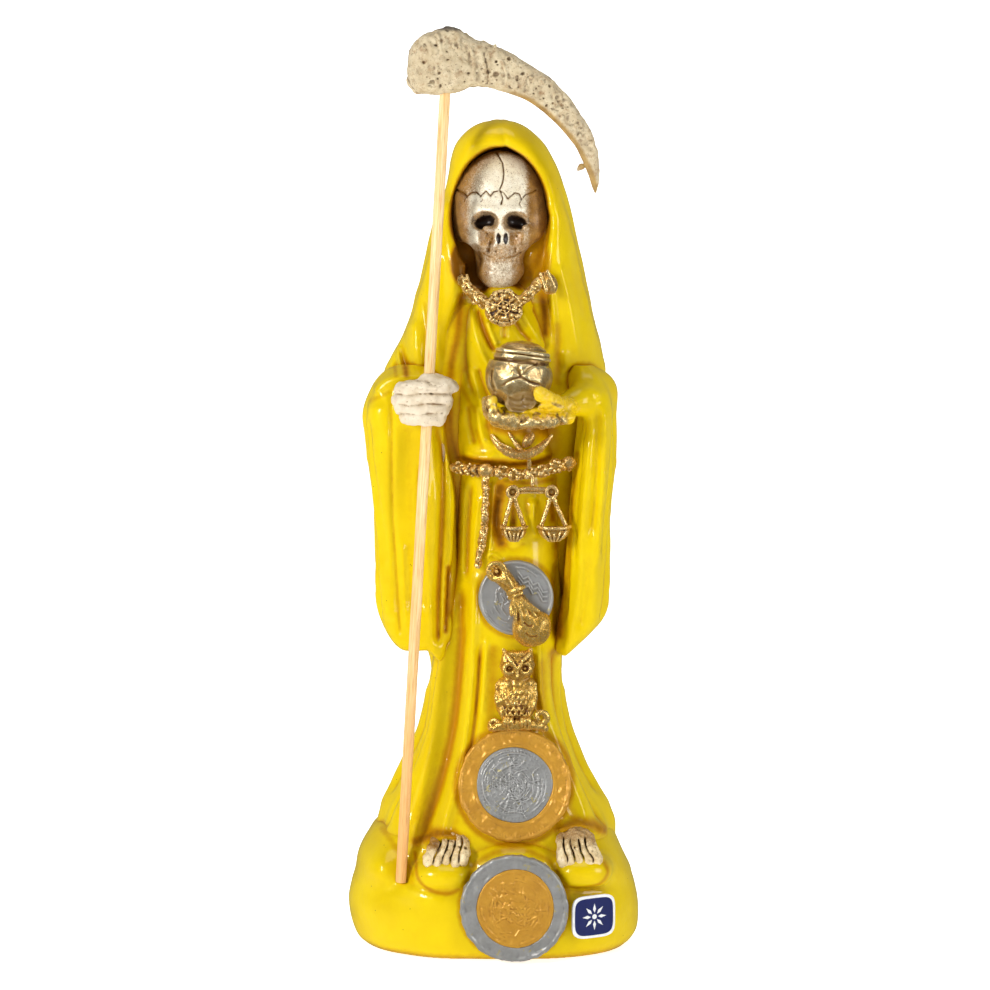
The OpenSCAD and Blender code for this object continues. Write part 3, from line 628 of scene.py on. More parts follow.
MANTLE = [[14, 0, 27.4, 3, 24.4], [24, 0, 27.9, 3, 24.4], [30, 0, 27.4, 2.6, 23.6], [40, -.1, 23.0, 2, 21.8], [50, 0, 19.6, 1, 20.4],
          [60, .1, 17.2, 0, 19.4], [68, .1, 16.6, -1, 18.8], [76, -.2, 18, -4.0, 18.5], [90, -.6, 21, -6.4, 18.2],
          [112, -.8, 23.6, -7.6, 17.8], [130, -.9, 25.6, -8.4, 17.6], [138, -.6, 27, -8.8, 17.4], [144, .1, 27.9, -9.6, 17.3],
          [148, .7, 26.9, -10.8, 17.2], [151.6, 1.2, 25.7, -11.4, 17], [155.4, 1.5, 24.4, -12, 17], [159.2, 1.8, 23.1, -12.5, 16.9],
          [163, 1.9, 22.2, -12.9, 16.8], [166.7, 2, 21.1, -13.3, 16.7], [174.3, 2, 19.4, -13.9, 16.4], [181.8, 2.1, 17.6, -14, 16],
          [185.6, 2.1, 16.5, -13.9, 15.7], [189.4, 2.5, 14.9, -13.6, 15.3], [193.2, 2.3, 13.8, -13.1, 14.8], [197, 1.7, 12.6, -12.3, 13.8],
          [200.7, 1.2, 10.9, -10.9, 12], [203, 1, 9, -9.3, 10], [205, 1, 6.6, -7.1, 7.6], [206.2, 1.1, 4, -4.6, 4.8], [206.8, 1.2, 1.4, -2, 2.2]]
RSLEEVE = [[68, -19.6, 9.6, -12.6, 2], [84, -19.45, 9.9, -13.3, 4], [98.7, -19.55, 10.1, -14, 5.6], [106, -19.75, 10.3, -14.4, 6.2],
           [114, -20.15, 10.6, -14.9, 6.8], [121.4, -21.2, 10.3, -15.3, 7], [129, -21.9, 10.1, -15.6, 7.2], [133, -22.15, 10.3, -15.6, 7.2],
           [137, -22, 10, -15.3, 7], [140.5, -21.5, 9.1, -14.2, 6], [143, -21.1, 7.8, -12.8, 5], [145, -21, 5.6, -11, 3.4], [146.2, -21, 2.6, -9, 1.6]]
LSLEEVE = [[68, 21, 6.6, -12.4, 1], [76, 21.4, 6.0, -12.9, 2], [84, 22.1, 5.25, -13.6, 3.4], [90, 22.8, 5.05, -14, 4.2], [104, 23.45, 5.0, -14.9, 5.4],
           [114, 24.1, 5.0, -15.5, 6], [123.6, 24.95, 4.7, -16, 6.4], [134, 25.5, 4.1, -16.1, 6.4], [138, 25.0, 4.2, -15.2, 6],
           [141, 23.8, 4.9, -13.6, 5], [144, 22.8, 4.2, -11.6, 3.6], [146, 21.8, 2.2, -9, 1.6]]
PLINTH = [[-1, .2, 33.5, -23.4, 25], [0, .2, 33.6, -23.6, 25.2], [1.2, .2, 34.8, -24.9, 26.4], [3.3, .25, 35.9, -25.8, 27.4], [7.2, -.1, 36.7, -26.5, 28.2],
          [11, -.3, 36.9, -26.8, 28.4], [14.8, -.25, 36.2, -26.4, 28.0], [16.8, -.2, 35.6, -25.4, 27.6], [18.7, -.2, 35, -24.0, 27.2],
          [22.5, -1, 33.2, -21.9, 25.8], [26.3, -.5, 31.7, -20.4, 24.6], [29.4, -.3, 29.6, -18.6, 23], [31.2, 0, 26, -15, 20]]

LO, HI, H0 = (-39.2, -30.2, -1.2), (39.2, 31.0, 209.0), 0.42


def loft(C, T, e, H=None, S=None, B=None):
    z = C.z[0, 0]
    cx, hw, yf, yb = (col(T, z, c)[None, None, :] for c in (1, 2, 3, 4))
    yc, hd = (yf + yb) / 2, (yb - yf) / 2
    X = np.abs(C.x - cx)
    if S is not None:
        X = X - S * step(0.2, 0.75, X / hw)
    Y = C.y - yc
    if H is not None:
        Y = Y + H[:, None, :] * step(0.0, -0.5, Y / hd)
    if B is not None:
        Y = Y - B * step(0.0, 0.5, Y / hd)
    X = np.clip(X, 0, None) / hw
    q = (X**e + (np.abs(Y) / hd) ** e) ** (1.0 / e)
    d = (q - 1) * np.minimum(hw, hd)
    return np.maximum(d, np.maximum(T[0][0] - C.z, C.z - T[-1][0])).astype(F4)


def waves(u, v, sets):
    """Long soft folds: each set is (wavelength, drift, phase, amplitude at the foot, at the top, foot z, top z)."""
    H = 0
    for wl, drift, ph, a0, a1, z0, z1 in sets:
        a = a0 + (a1 - a0) * step(z0, z1, v)
        H = H + a * np.sin(2 * math.pi * (u + drift * (v - z0) / 100.0) / wl + ph)
    return H


G = Clay(LO, HI, H0)
ux, uz = G.x, G.z
# --- gown
hg = relief(ux, uz, [
    # drape of the chest, from the shoulders down to the globe
    ([(-6.6, 162.5), (-5.2, 155), (-3.2, 149), (-.4, 144)], 1.0, 1.3),
    ([(-4.4, 161), (-3.2, 156.5), (-1.4, 152), (.4, 149)], .7, -1.5),
    ([(-2.2, 157.5), (-1.0, 154), (.6, 150.6)], .8, 1.2),
    ([(-8.4, 158), (-8.0, 150), (-6.4, 143), (-4.6, 138)], .8, -1.2),
    ([(-9.0, 154), (-8.9, 144), (-8.4, 134)], .7, .7),
    ([(-6.2, 146), (-4.4, 139.6), (-2.2, 134.4)], .9, 1.2),
    ([(-4.2, 146), (-2.6, 141), (-1.0, 137)], .6, -1.0),
    ([(2.2, 156), (2.4, 152.6)], .7, -.8),
    ([(6.2, 160), (8.2, 156.6), (11.0, 152.4), (13.0, 150)], .8, 1.2),
    ([(4.6, 157.4), (6.4, 154.4), (9.2, 151.6)], .7, -1.2),
    ([(9.2, 160.6), (11.2, 157.2), (12.8, 154.6)], .6, -1.3),
    ([(11.4, 163), (12.0, 159), (12.4, 155)], .8, -2.4),
    # cloth that hangs over the belt
    ([(-8.9, 136), (-9.3, 129.6), (-8.2, 125), (-5.2, 123.6), (-2.2, 123.2), (1.2, 124.6)], 1.2, 1.3),
    ([(-6.6, 137), (-6.2, 131.6), (-4.8, 126)], .8, -1.2),
    ([(-4.6, 137), (-3.8, 131), (-2.6, 126.2)], .8, 1.1),
    ([(-2.0, 134), (-1.2, 129.4), (.6, 126.4)], .7, -.9),
    ([(13.6, 132), (13.4, 127), (12.2, 124)], 1.4, -1.4),
    ([(-10, 122.0), (-4, 121.6), (4, 121.0), (12, 121.9), (16, 123)], .8, -1.2, .05),
    # round the belt's charms
    ([(1.3, 114.2), (.9, 108), (1.6, 102.6)], 1.5, -1.1),
    ([(1.6, 102.8), (4.6, 100.6), (7.8, 102.6)], 1.0, -.6),
    ([(9.4, 113.4), (9.5, 108), (10.2, 103)], 1.3, 1.3),
    ([(16.4, 115), (16.9, 108), (16.2, 101)], 1.2, -1.6),
    ([(-.4, 118), (-.7, 108), (-1.6, 98)], .6, .9, .1),
    ([(-5.6, 118), (-6.6, 106), (-7.0, 92)], .8, -1.1),
    ([(-7.6, 117.6), (-8.0, 108), (-8.0, 94)], .7, .9),
    ([(-3.8, 114), (-4.9, 106), (-5.4, 97)], .6, .6),
    ([(-2.4, 98.6), (-.4, 99.6), (2.2, 97.8)], .6, .9),
    # skirt
    ([(-5.2, 95), (-5.6, 80), (-6.2, 66), (-8.4, 50), (-12.2, 34), (-15, 24)], 1.5, 1.7, .08),
    ([(-8.2, 92), (-8.6, 76), (-9.8, 60), (-13, 44), (-18.6, 27)], 1.4, -1.6, .08),
    ([(-12.2, 78), (-13.8, 64), (-17.0, 48), (-22.6, 30)], 1.6, 1.3, .08),
    ([(-3.6, 78), (-4.4, 66), (-5.2, 57), (-7.2, 44)], .8, -1.0),
    ([(-1.8, 80), (-2.8, 68), (-3.6, 58)], .8, .7),
    ([(10.8, 82), (11.4, 72), (12.4, 62), (16.4, 50), (21.6, 37), (24, 28)], 1.5, 1.4, .08),
    ([(9.4, 76), (9.8, 66), (10.8, 58)], .8, -.8),
    ([(13.9, 78), (14.4, 66), (17.6, 54), (23.4, 40), (27, 30)], 1.4, -1.5, .08),
    ([(15.4, 98), (15.2, 88), (15.6, 78)], 1.4, -2.4),
    # ledge of cloth over the feet
    ([(-18, 28.4), (-13.6, 30.4), (-8.6, 29.4)], 1.0, 1.2),
    ([(15, 31.0), (19.5, 32), (24.4, 31.2), (28, 28.6)], 1.0, 1.3),
    ([(-17, 26.6), (-12, 27.8), (-8, 27)], .9, -1.6),
    ([(15, 28.6), (20, 29.2), (24.6, 28.4)], .9, -1.6),
])
sg = waves(G.y, uz, [(11, 10, .4, .55, .15, 24, 90), (17, -14, 1.7, .5, .2, 24, 90)]) + relief(G.y, uz, [
    ([(-12, 84), (-12.6, 64), (-14, 46), (-15.6, 30)], 1.1, -1.4, .1), ([(-6.6, 76), (-7, 58), (-7.6, 42), (-8, 28)], 1.3, -1.5, .1),
    ([(-9.6, 80), (-10, 60), (-11, 42), (-12, 28)], 1.1, .5, .1), ([(-2, 70), (-2, 52), (-1, 36)], 1.3, -1.2, .1), ([(1, 66), (1.6, 48), (2, 32)], 1.2, .5, .1)])[None, :, :]
G.F = loft(G, GOWN, 2.45, hg, S=sg)
# --- hooded mantle
C = Clay(LO, HI, H0)
hm = relief(ux, uz, [
    ([(-23.3, 155), (-23.0, 149), (-21.4, 143.4)], .9, -2.2),
    ([(-25.6, 150), (-24.6, 145), (-23.8, 142)], .6, -1.1),
    ([(-24.6, 152), (-24.0, 147.6), (-22.6, 143)], .55, .9),
    ([(-20.6, 158), (-19.6, 150), (-18.6, 143)], 1.3, 1.1),
    ([(-17.6, 164), (-17.0, 152), (-16.6, 143)], 1.0, -1.0),
    ([(-14.0, 176), (-14.4, 162), (-14.4, 146)], 1.2, 1.0),
    ([(-15.0, 186), (-15.8, 170), (-15.6, 160)], 1.0, -.5),
    ([(13.4, 170), (15.2, 162), (15.8, 152), (15.6, 142)], 1.2, -.9),
    ([(15.6, 172), (17.8, 164), (19.4, 156), (20.8, 148)], 1.2, 1.0),
    ([(19.2, 176), (21.2, 166), (23.0, 156)], 1.1, -.7),
    ([(18.6, 146), (20.6, 141.6), (25, 140.2)], 1.4, -1.4),
    ([(17.0, 150), (18.0, 145.6), (19, 142)], .8, .6),
    ([(13.6, 166), (14.6, 158), (14.4, 148)], .8, .9),
])
bm = waves(ux, uz, [(15, 12, .3, .7, .1, 20, 150), (9.5, -16, 1.2, .35, .1, 20, 140), (24, 6, 2.0, .6, .2, 20, 170)]) + relief(ux, uz, [
    # the hood, falling to the shoulders
    ([(-15, 184), (-12.6, 174), (-6, 164), (3, 159.6), (9, 160)], 2.0, .9, .3), ([(17.6, 180), (15.2, 172), (10, 165.6), (6, 164)], 2.0, .8, .3),
    ([(-16.4, 178), (-13, 167), (-7, 158.6), (0, 155)], 1.5, -.9, .3), ([(19, 175), (16, 167), (11, 160), (5, 155.6)], 1.6, -.9, .3),
    ([(-19, 168), (-15.6, 158), (-9, 149.6), (-3, 147)], 1.7, .8, .3), ([(21.4, 166), (17.6, 157), (11.6, 149), (6, 147)], 1.7, .8, .3),
    ([(-7.4, 198), (-9.4, 188), (-9.6, 176), (-7, 166)], 2.2, .6, .3), ([(2.0, 202), (1.6, 190), (2.6, 178), (4.4, 168)], 2.4, .7, .3), ([(9.6, 198), (11.4, 186), (11.6, 176)], 2.0, .5, .3),
    # long folds of the cape
    ([(-20.4, 160), (-17.6, 140), (-15.0, 118), (-13.2, 96), (-13.0, 70), (-16, 46), (-20, 26)], 2.0, 1.7, .1),
    ([(-17.6, 152), (-14.6, 130), (-12.0, 108), (-10.4, 84), (-10.6, 58), (-13, 30)], 1.5, -1.9, .1),
    ([(-10.4, 148), (-8.4, 124), (-7.0, 100), (-6.6, 74), (-7.6, 48), (-9.4, 28)], 1.9, 1.5, .1),
    ([(-5.6, 146), (-4.0, 122), (-3.2, 96), (-3.0, 70), (-3.6, 44), (-4.4, 28)], 1.3, -1.7, .1),
    ([(-.4, 140), (.2, 118), (.6, 92), (.8, 66), (.4, 28)], 1.8, 1.2, .1),
    ([(5.6, 150), (5.0, 126), (4.4, 100), (4.4, 72), (5.4, 48), (6.4, 28)], 1.3, -1.7, .1),
    ([(10.8, 146), (9.4, 124), (8.2, 100), (7.9, 72), (9.4, 48), (11.4, 28)], 1.8, 1.5, .1),
    ([(16.6, 156), (14.2, 132), (12.2, 108), (11.4, 82), (12.6, 56), (15.4, 30)], 1.5, -1.8, .1),
    ([(21.6, 160), (19.2, 138), (16.6, 114), (15.0, 88), (15.8, 60), (20.4, 28)], 2.0, 1.6, .1),
    ([(-8.2, 66), (-8.6, 50), (-10.4, 30)], 1.0, -.9), ([(9.8, 62), (10.8, 46), (13.2, 28)], 1.0, -.9), ([(1.6, 88), (2.4, 60), (2.6, 30)], .9, -.9),
    # drag lines at the waist
    ([(-17.4, 104), (-12, 96), (-6, 93), (-1, 94)], 1.6, .8, .3), ([(-17, 98), (-11, 90), (-5, 87.6)], 1.3, -.5, .3),
    ([(19, 97), (13, 88), (7, 85.6), (3, 87)], 1.6, .8, .3), ([(18.6, 91), (12, 83), (7, 81.4)], 1.3, -.5, .3)])[:, None, :]
sm_ = waves(C.y, uz, [(12, 8, .8, .6, .1, 24, 150), (19, -10, 2.1, .4, .2, 24, 150)]) + relief(C.y, uz, [
    ([(-5.6, 194), (-4, 184), (-2, 170), (0, 158), (2, 148)], 2.1, -.55, .2), ([(1.4, 186), (2.8, 178), (4, 170), (5, 158), (6, 146)], 1.8, -.9, .2),
    ([(5, 176), (6, 168), (7, 156), (8, 136), (9, 112), (10, 88), (12, 60), (14, 34)], 1.5, -1.5, .1), ([(9, 182), (10, 172), (11, 158)], 1.5, -.7, .2),
    ([(7, 170), (9.4, 148), (11, 124), (12, 98), (13.6, 66), (16, 34)], 1.2, .45, .1), ([(13, 160), (13.6, 132), (14.4, 104), (15.6, 74), (18, 38)], 1.3, -1.3, .1),
    ([(2, 88), (4, 70), (6, 50), (7.6, 34)], 1.2, -1.2, .1), ([(9, 80), (10.4, 60), (12, 36)], 1.0, -1.0, .1)])[None, :, :]
C.F = loft(C, MANTLE, 2.25, hm, S=sm_, B=bm)
# the opening for the face, and down the front
xl = np.interp(C.z[0, 0], [100, 120, 143, 155, 160, 163, 166.5, 170, 176, 210], [-12.2, -12.2, -12.0, -11.4, -9.8, -8.4, -7.2, -6.8, 4, 4])[None, None, :]
xr = np.interp(C.z[0, 0], [100, 120, 143, 155, 160, 165, 170, 176, 183, 192, 210], [16.4, 15.4, 14.2, 13.9, 13.4, 12.7, 12.3, 12.4, 12.4, 4, -2])[None, None, :]
face = (np.sqrt(((C.x - 1.15) / 11.7) ** 2 + ((C.z - 182.5) / 17.4) ** 2) - 1) * 12.5
open_ = smin(face, np.maximum(xl - C.x, C.x - xr).astype(F4), 3.0)
open_ = np.maximum(open_, C.y - np.interp(C.z[0, 0], [112, 125, 152, 161, 168, 174], [-7.5, -8.6, -9.4, -8.0, -4.0, 3.0])[None, None, :])
C.F = smax(C.F, -open_.astype(F4), 3.4)
C.ell((9.4, -1.2, 174.6), (4.6, 6.0, 10.0), k=2.5)
C.ell((-7.0, .6, 174.0), (4.4, 4.6, 9.0), k=2.5)
C.F += C.noise(1.6, .5, 23) * step(11.5, 9.5, np.hypot(C.x - 1.2, (C.z - 178) * .7)) * step(4, 0, C.y)
HOOD = C
# --- right sleeve (the fist's side)
R = Clay(LO, HI, H0)
hr = relief(ux, uz, [
    ([(-29.6, 138), (-29.2, 128), (-29.0, 110), (-28.6, 92), (-27, 82)], 2.6, 1.3, .05),
    ([(-25.4, 141), (-25.4, 131), (-25.3, 110), (-24.4, 92), (-23.6, 78)], .6, -.7, .05),
    ([(-21, 134), (-21, 118), (-20.6, 100), (-20, 84)], 3.2, -1.3, .08),
    ([(-17.2, 127), (-17.2, 112), (-16.8, 96), (-16.0, 80)], .9, .7),
    ([(-18.8, 124), (-18.8, 108), (-18.2, 90)], .6, -.5),
    ([(-14.6, 131), (-13.5, 126), (-12.9, 117), (-13.3, 104), (-14.1, 88), (-14.2, 76)], .9, -2.0, .06),
    ([(-11.6, 130), (-11.2, 117), (-11.2, 104), (-11.0, 96)], .8, 1.1),
    ([(-11.7, 97), (-12.0, 88), (-12.4, 79)], .9, -1.0),
    ([(-10.2, 95), (-10.5, 86), (-11.1, 76)], .9, .8),
    ([(-23, 104), (-22.6, 92), (-21.8, 80)], .8, .6),
    # turned cuff above the fist
    ([(-30.2, 139.4), (-28.4, 141.8), (-24.6, 143.2), (-19.4, 143.6), (-13.8, 143.4)], 1.5, 1.8, .05),
    ([(-24.4, 139.6), (-21, 140.8), (-15, 141.0)], 1.2, -2.2),
])
SIDE = [([(-.4, 141), (-2.2, 124), (-3.4, 106), (-4.6, 88), (-5.4, 75)], 1.2, -1.5, .1), ([(-8.2, 137), (-8.8, 119), (-9.4, 100), (-9.6, 80)], 1.0, -1.3, .1),
        ([(3.6, 134), (2.4, 116), (1.0, 96), (-.4, 80)], 1.1, -1.2, .1), ([(-5, 140), (-6.0, 120), (-7.0, 98), (-7.4, 78)], .9, .45, .1),
        ([(-12.2, 134), (-12.4, 118), (-11.8, 96)], .9, -.8, .1), ([(1.2, 138), (-.2, 120), (-1.2, 100), (-2.6, 80)], .9, .4, .1),
        ([(4.6, 120), (-1, 111), (-7, 108)], 1.0, -.7), ([(4.0, 131), (-2, 124), (-8, 122.6)], 1.3, .2), ([(3, 100), (-3, 92), (-8, 90)], 1.0, -.6)]
BACK = [(6.5, 9, .4, .6, .3, 72, 130), (3.6, -12, 1.2, .25, .15, 72, 130)]
sr = waves(R.y, uz, [(8, 10, .5, .6, .3, 72, 130), (13, -8, 1.9, .4, .2, 72, 130)]) + relief(R.y, uz, SIDE)[None, :, :]
R.F = loft(R, RSLEEVE, 2.6, hr, S=sr, B=waves(ux, uz, BACK))
hem = 71.9 + 3.0 * step(-13.4, -17.2, R.x) + 0.165 * np.clip(-R.x - 22, 0, None) ** 2 + 0.006 * (R.y + 6) ** 2
R.F = smax(R.F, (hem - R.z).astype(F4), 2.6)
# --- left sleeve (the globe's side)
L = Clay(LO, HI, H0)
hl = relief(ux, uz, [
    ([(24.6, 138), (25.0, 128), (24.8, 116), (23.6, 102)], .9, -1.1),
    ([(26.9, 138), (27.2, 124), (26.4, 108), (25.6, 94)], 1.3, .9),
    ([(22.6, 131), (22.3, 120), (21.3, 108), (20.6, 96)], 1.0, .9),
    ([(22.8, 100), (22.2, 90), (20.8, 80)], .9, -.8),
    ([(19.9, 112), (19.0, 98), (18.2, 84)], .8, .7),
    ([(19.0, 140.4), (22.6, 140.6), (26.4, 138.6)], 1.3, 1.4),
])
sl = waves(L.y, uz, [(7.5, 10, 1.1, .5, .3, 72, 130), (14, -9, .2, .4, .2, 72, 130)])
sl = sl + relief(L.y, uz, [([(a - .4, b + 1.5 * math.sin(a)) for a, b in it[0]],) + it[1:] for it in SIDE])[None, :, :] * .85
L.F = loft(L, LSLEEVE, 2.6, hl, S=sl, B=waves(ux, uz, BACK))
hem = 73.2 + 0.92 * np.clip(L.x - 17.6, 0, None) + 0.006 * (L.y + 6) ** 2
L.F = smax(L.F, (hem - L.z).astype(F4) * 0.8, 3.0)
L.cap((25.2, -5.0, 139.2), (20.2, -15.0, 137.6), 5.2, 3.4, k=2.5)
L.cap((20.6, -14.6, 137.4), (17.4, -17.2, 136.8), 3.3, 2.7, k=1.5)
L.ell((14.6, -19.4, 134.6), (3.4, 3.4, 2.6), k=1.0, cut=True)
# --- plinth
P = Clay(LO, HI, H0)
hp = relief(ux, uz, [([(-34, 21), (-26, 19.6), (-20, 17.2), (-12, 15.6)], 1.6, .8), ([(34, 19), (29, 20), (25, 18)], 1.6, .7)])
P.F = loft(P, PLINTH, 2.5, hp)
P.F += P.noise(13, 0.7, 11) + P.noise(5, 0.26, 12)
P.ell((-12.6, -19.4, 20.9), (7.9, 6.9, 4.2), k=1.5, R=turn(rz=-8))
P.box((-12.6, -19.0, 19.9), (6.2, 5.4, 2.6), rnd=2.5, k=2.4, R=turn(rz=-8))
P.ell((21.6, -19.0, 21.9), (7.4, 6.9, 4.2), k=1.5, R=turn(rz=10))
P.box((21.6, -18.8, 20.9), (5.8, 5.4, 2.6), rnd=2.5, k=2.4, R=turn(rz=10))
P.ell((4.7, -19.6, 20.5), (11.5, 5.4, 8.0), k=1.8)
P.ell((-27.0, -4, 20.4), (6.8, 15, 7.2), k=3)
P.ell((25.8, -4, 19.2), (6.8, 15, 7.0), k=3)
P.F = np.maximum(P.F, -P.z)
for c in (G, HOOD, R, L):
    c.F += G.noise(6.0, 0.20, 21) + G.noise(2.4, 0.07, 22)

# clear space for the pole, with the pieces that it passes
FOOT, HEAD = V([-23.3, -20.4, 18.6]), V([-12.1, -17.2, 211.9])
AX = (HEAD - FOOT) / np.linalg.norm(HEAD - FOOT)


def pole_d(C):
    t = (C.x - FOOT[0]) * AX[0] + (C.y - FOOT[1]) * AX[1] + (C.z - FOOT[2]) * AX[2]
    r = np.sqrt(np.maximum((C.x - FOOT[0]) ** 2 + (C.y - FOOT[1]) ** 2 + (C.z - FOOT[2]) ** 2 - t * t, 0))
    return r, t


rr, tt = pole_d(P)
slot_ = np.maximum(rr - 1.75, -tt - 0.1).astype(F4)
P.F = smax(P.F, -slot_, 0.4)
R.F = smax(R.F, (1.9 - rr).astype(F4), 0.8)
ALL = np.minimum(np.minimum(np.minimum(G.F, HOOD.F), np.minimum(R.F, L.F)), P.F)
# concavity of the whole robe at two widths, for painted shade in its folds
CAV = G.cavity(1.0, ALL)
WIDE = G.cavity(3.6, ALL)
del rr, tt, slot_, open_, face
# painted shade strokes, in part a brown wash: each (points, width, strength) darkens the robe along folds and recesses,
# under the belt and charms, beside the pole and sleeves, and along the plinth's foot
ROBE_SHADE_AND_WASH_STROKES = [
    ([(1.4, 116), (.2, 109), (1.4, 102.4)], 2.0, 1.0), ([(16.2, 117), (17.0, 108), (16.2, 101)], 1.7, 1.2), ([(4.4, 112), (4.5, 107.6)], 1.0, .75), ([(14.1, 112), (14.4, 107.6)], 1.1, .8), ([(7.8, 113), (8.2, 110)], .9, .5), ([(1, 117.6), (8, 117), (16, 117.8)], .8, .7),
    ([(-9.5, 123), (0, 122.4), (8, 121.9), (16, 123.6)], 1.1, .95), ([(10, 131), (14.6, 129.6), (16.4, 126), (16, 121)], 3.0, .95), ([(-1, 131.4), (6, 130), (15, 131.4)], 1.6, .85),
    ([(-8.4, 163), (-9.2, 154), (-10.8, 146), (-11.3, 137), (-11, 129), (-9.6, 123.5)], 1.2, .8), ([(11.6, 163.6), (12.2, 159), (12.4, 154)], 1.2, 1.0),
    ([(16.6, 104), (16.5, 96), (16.2, 88), (15.8, 79)], 1.7, 1.0), ([(-14.6, 131), (-13.4, 126), (-12.8, 117), (-13.3, 104), (-14.1, 88)], .9, .5), ([(-11.6, 96), (-12.3, 80)], .7, .95),
    ([(-11.0, 199.6), (-14.4, 193), (-16, 186)], 2.2, .5), ([(-23.4, 154.5), (-22.9, 149), (-21.8, 143.9)], .9, .9), ([(-25.6, 149), (-24.4, 143.6)], .6, .5),
    ([(-8.4, 80), (-9.2, 66), (-11.2, 52), (-13.7, 44), (-19.9, 27)], 1.6, .45), ([(-.4, 76), (-.7, 64), (-1.6, 55)], 1.6, .5), ([(11.6, 72), (11.8, 58)], 1.5, .5),
    ([(13.9, 74), (15.2, 62), (20, 48), (26, 34)], 1.3, .35), ([(-19.6, 28), (-13, 31), (-7.6, 29)], 1.5, .9), ([(15, 31.4), (22, 32.6), (27.6, 29.4)], 1.4, .8),
    ([(-19.9, 25.5), (-18.9, 20.3), (-15.8, 17.6), (-11.6, 16.9), (-8.9, 17.9)], .6, .7), ([(17, 19.4), (18.5, 18.4), (21.7, 18.1), (25.8, 19.1), (27.8, 21.8), (27, 24)], .6, .65),
    ([(-31, 30.6), (-27, 28.4), (-23, 24), (-20.6, 21)], 1.0, .45), ([(-3.2, 158), (-.6, 150.4)], .7, .5), ([(4.4, 158), (8.8, 151.8)], .7, .45), ([(-8.6, 141), (-5.0, 135)], .8, .45),
    ([(-4.6, 130), (-2.8, 124.6)], .7, .45), ([(15.4, 156), (15.4, 142)], 1.2, .5), ([(20.4, 124), (19.3, 114), (18.6, 104), (17.9, 91), (16, 78)], .9, .6),
    ([(-30.8, 137.4), (-25, 140.0), (-19, 140.8), (-13.6, 140.6)], .8, .4), ([(-38, .2), (0, .2), (38, .2)], 1.6, .5), ([(-18, 134), (-16, 131.6), (-12, 131.4)], 1.2, .5)]


def robe_shade_and_wash(mm, p):
    x, y, z = mm.T
    o = np.zeros(len(x))
    for pts, w, a in ROBE_SHADE_AND_WASH_STROKES:
        d, _t = dist2(x, z, curve(pts, 5))
        o = np.maximum(o, a * np.exp(-(d / w) ** 2))
    # painted shade in rings round the coins' edges
    for cx, cz, r, w, a in ((4.8, 42.4, 14.5, 1.0, .7), (4.7, 13.8, 13.5, .8, .55), (5.2, 88.7, 9.7, .8, .6)):
        d = np.hypot(x - cx, z - cz) - r
        o = np.maximum(o, a * np.exp(-(d / w) ** 2))
    o = o * step(-4.5, -7.5, y) * .9
    # painted shade inside the hood, round the skull
    q = np.hypot((x - 1.2) / 12.6, (z - 181.5) / 18.6)
    o = np.maximum(o, step(1.06, .94, q) * step(-10.6, -7.6, y) * step(8.5, 6.5, y) * step(158, 164, z) * (1.08 - .36 * step(4, 8, x) * step(186, 178, z)))
    # painted shade in the dark gaps beside the jaw
    neck = step(5.4, 3.4, np.hypot(x + 6.6, (z - 171.4) * .7)) * 1.25
    neck = np.maximum(neck, step(4.6, 2.4, np.hypot(x - 10.4, (z - 171.4) * .6)) * .6)
    return np.maximum(o, neck * step(4, 0, y))


robe_attrs = {"cav": CAV, "wide": WIDE, "robe_shade_and_wash": robe_shade_and_wash}
G.cast("gown_sculpt", M_ENAMEL, replaces=["gown"], slot="robe_enamel", attrs=robe_attrs)
HOOD.cast("hooded_mantle_sculpt", M_ENAMEL, replaces=["hooded_mantle"], slot="robe_enamel", attrs=robe_attrs)
R.cast("right_sleeve_sculpt", M_ENAMEL, replaces=["right_sleeve"], slot="robe_enamel", attrs=robe_attrs)
L.cast("left_sleeve_sculpt", M_ENAMEL, replaces=["left_sleeve"], slot="robe_enamel", attrs=robe_attrs)
P.cast("base_plinth_sculpt", M_ENAMEL, replaces=["base_plinth"], slot="robe_enamel", attrs=robe_attrs)
del G, HOOD, R, L, P, C, ALL, CAV, WIDE, robe_attrs

# ---------------------------------------------------------------- skull
rng = np.random.RandomState(5)
S = Clay((-12.4, -15.5, 162), (15.4, 10, 201), 0.20)
S.ell((1.3, -1.0, 184.7), (11.4, 9.9, 14.5), k=1)
S.ell((1.2, -2.6, 184.6), (11.7, 6.4, 13.6), k=1.5)
S.ell((1.4, -4.4, 180.6), (8.4, 7.5, 9.2), k=3)
for s_, x0 in ((-1, 1.4), (1, 1.4)):
    S.cap((x0 + s_ * 7.6, -8.6, 184.3), (x0 + s_ * 1.8, -11.1, 184.1), 1.3, 1.5, k=1.6)          # brow
    S.ell((x0 + s_ * 8.9, -9.6, 183.2), (1.5, 2.2, 3.0), k=2.4, cut=True)                       # temple
    S.ell((x0 + s_ * 5.6, -1.0, 181.0), (6.2, 7.6, 9.0), k=1.5)
    S.ell((x0 + s_ * 10.2, -5.0, 170.2), (5.0, 14, 6.4), k=1.0, cut=True)                       # under the cheek
    S.cap((x0 + s_ * 8.2, -6.4, 178.6), (x0 + s_ * 4.4, -10.3, 177.0), 1.5, 1.6, k=1.6)          # cheekbone
    S.cap((x0 + s_ * 5.0, -1.5, 177), (x0 + s_ * 4.2, -5.6, 169.4), 1.7, 1.7, k=1.4)             # jaw branch
S.ell((1.5, -7.2, 174.4), (5.0, 4.6, 4.8), k=1.6)
S.ell((1.3, -7.1, 168.9), (5.3, 4.7, 4.4), k=1.4)
S.cap((1.5, -10.4, 184.0), (1.8, -12.1, 179.0), .95, 1.0, k=1.1)                                 # bridge of the nose
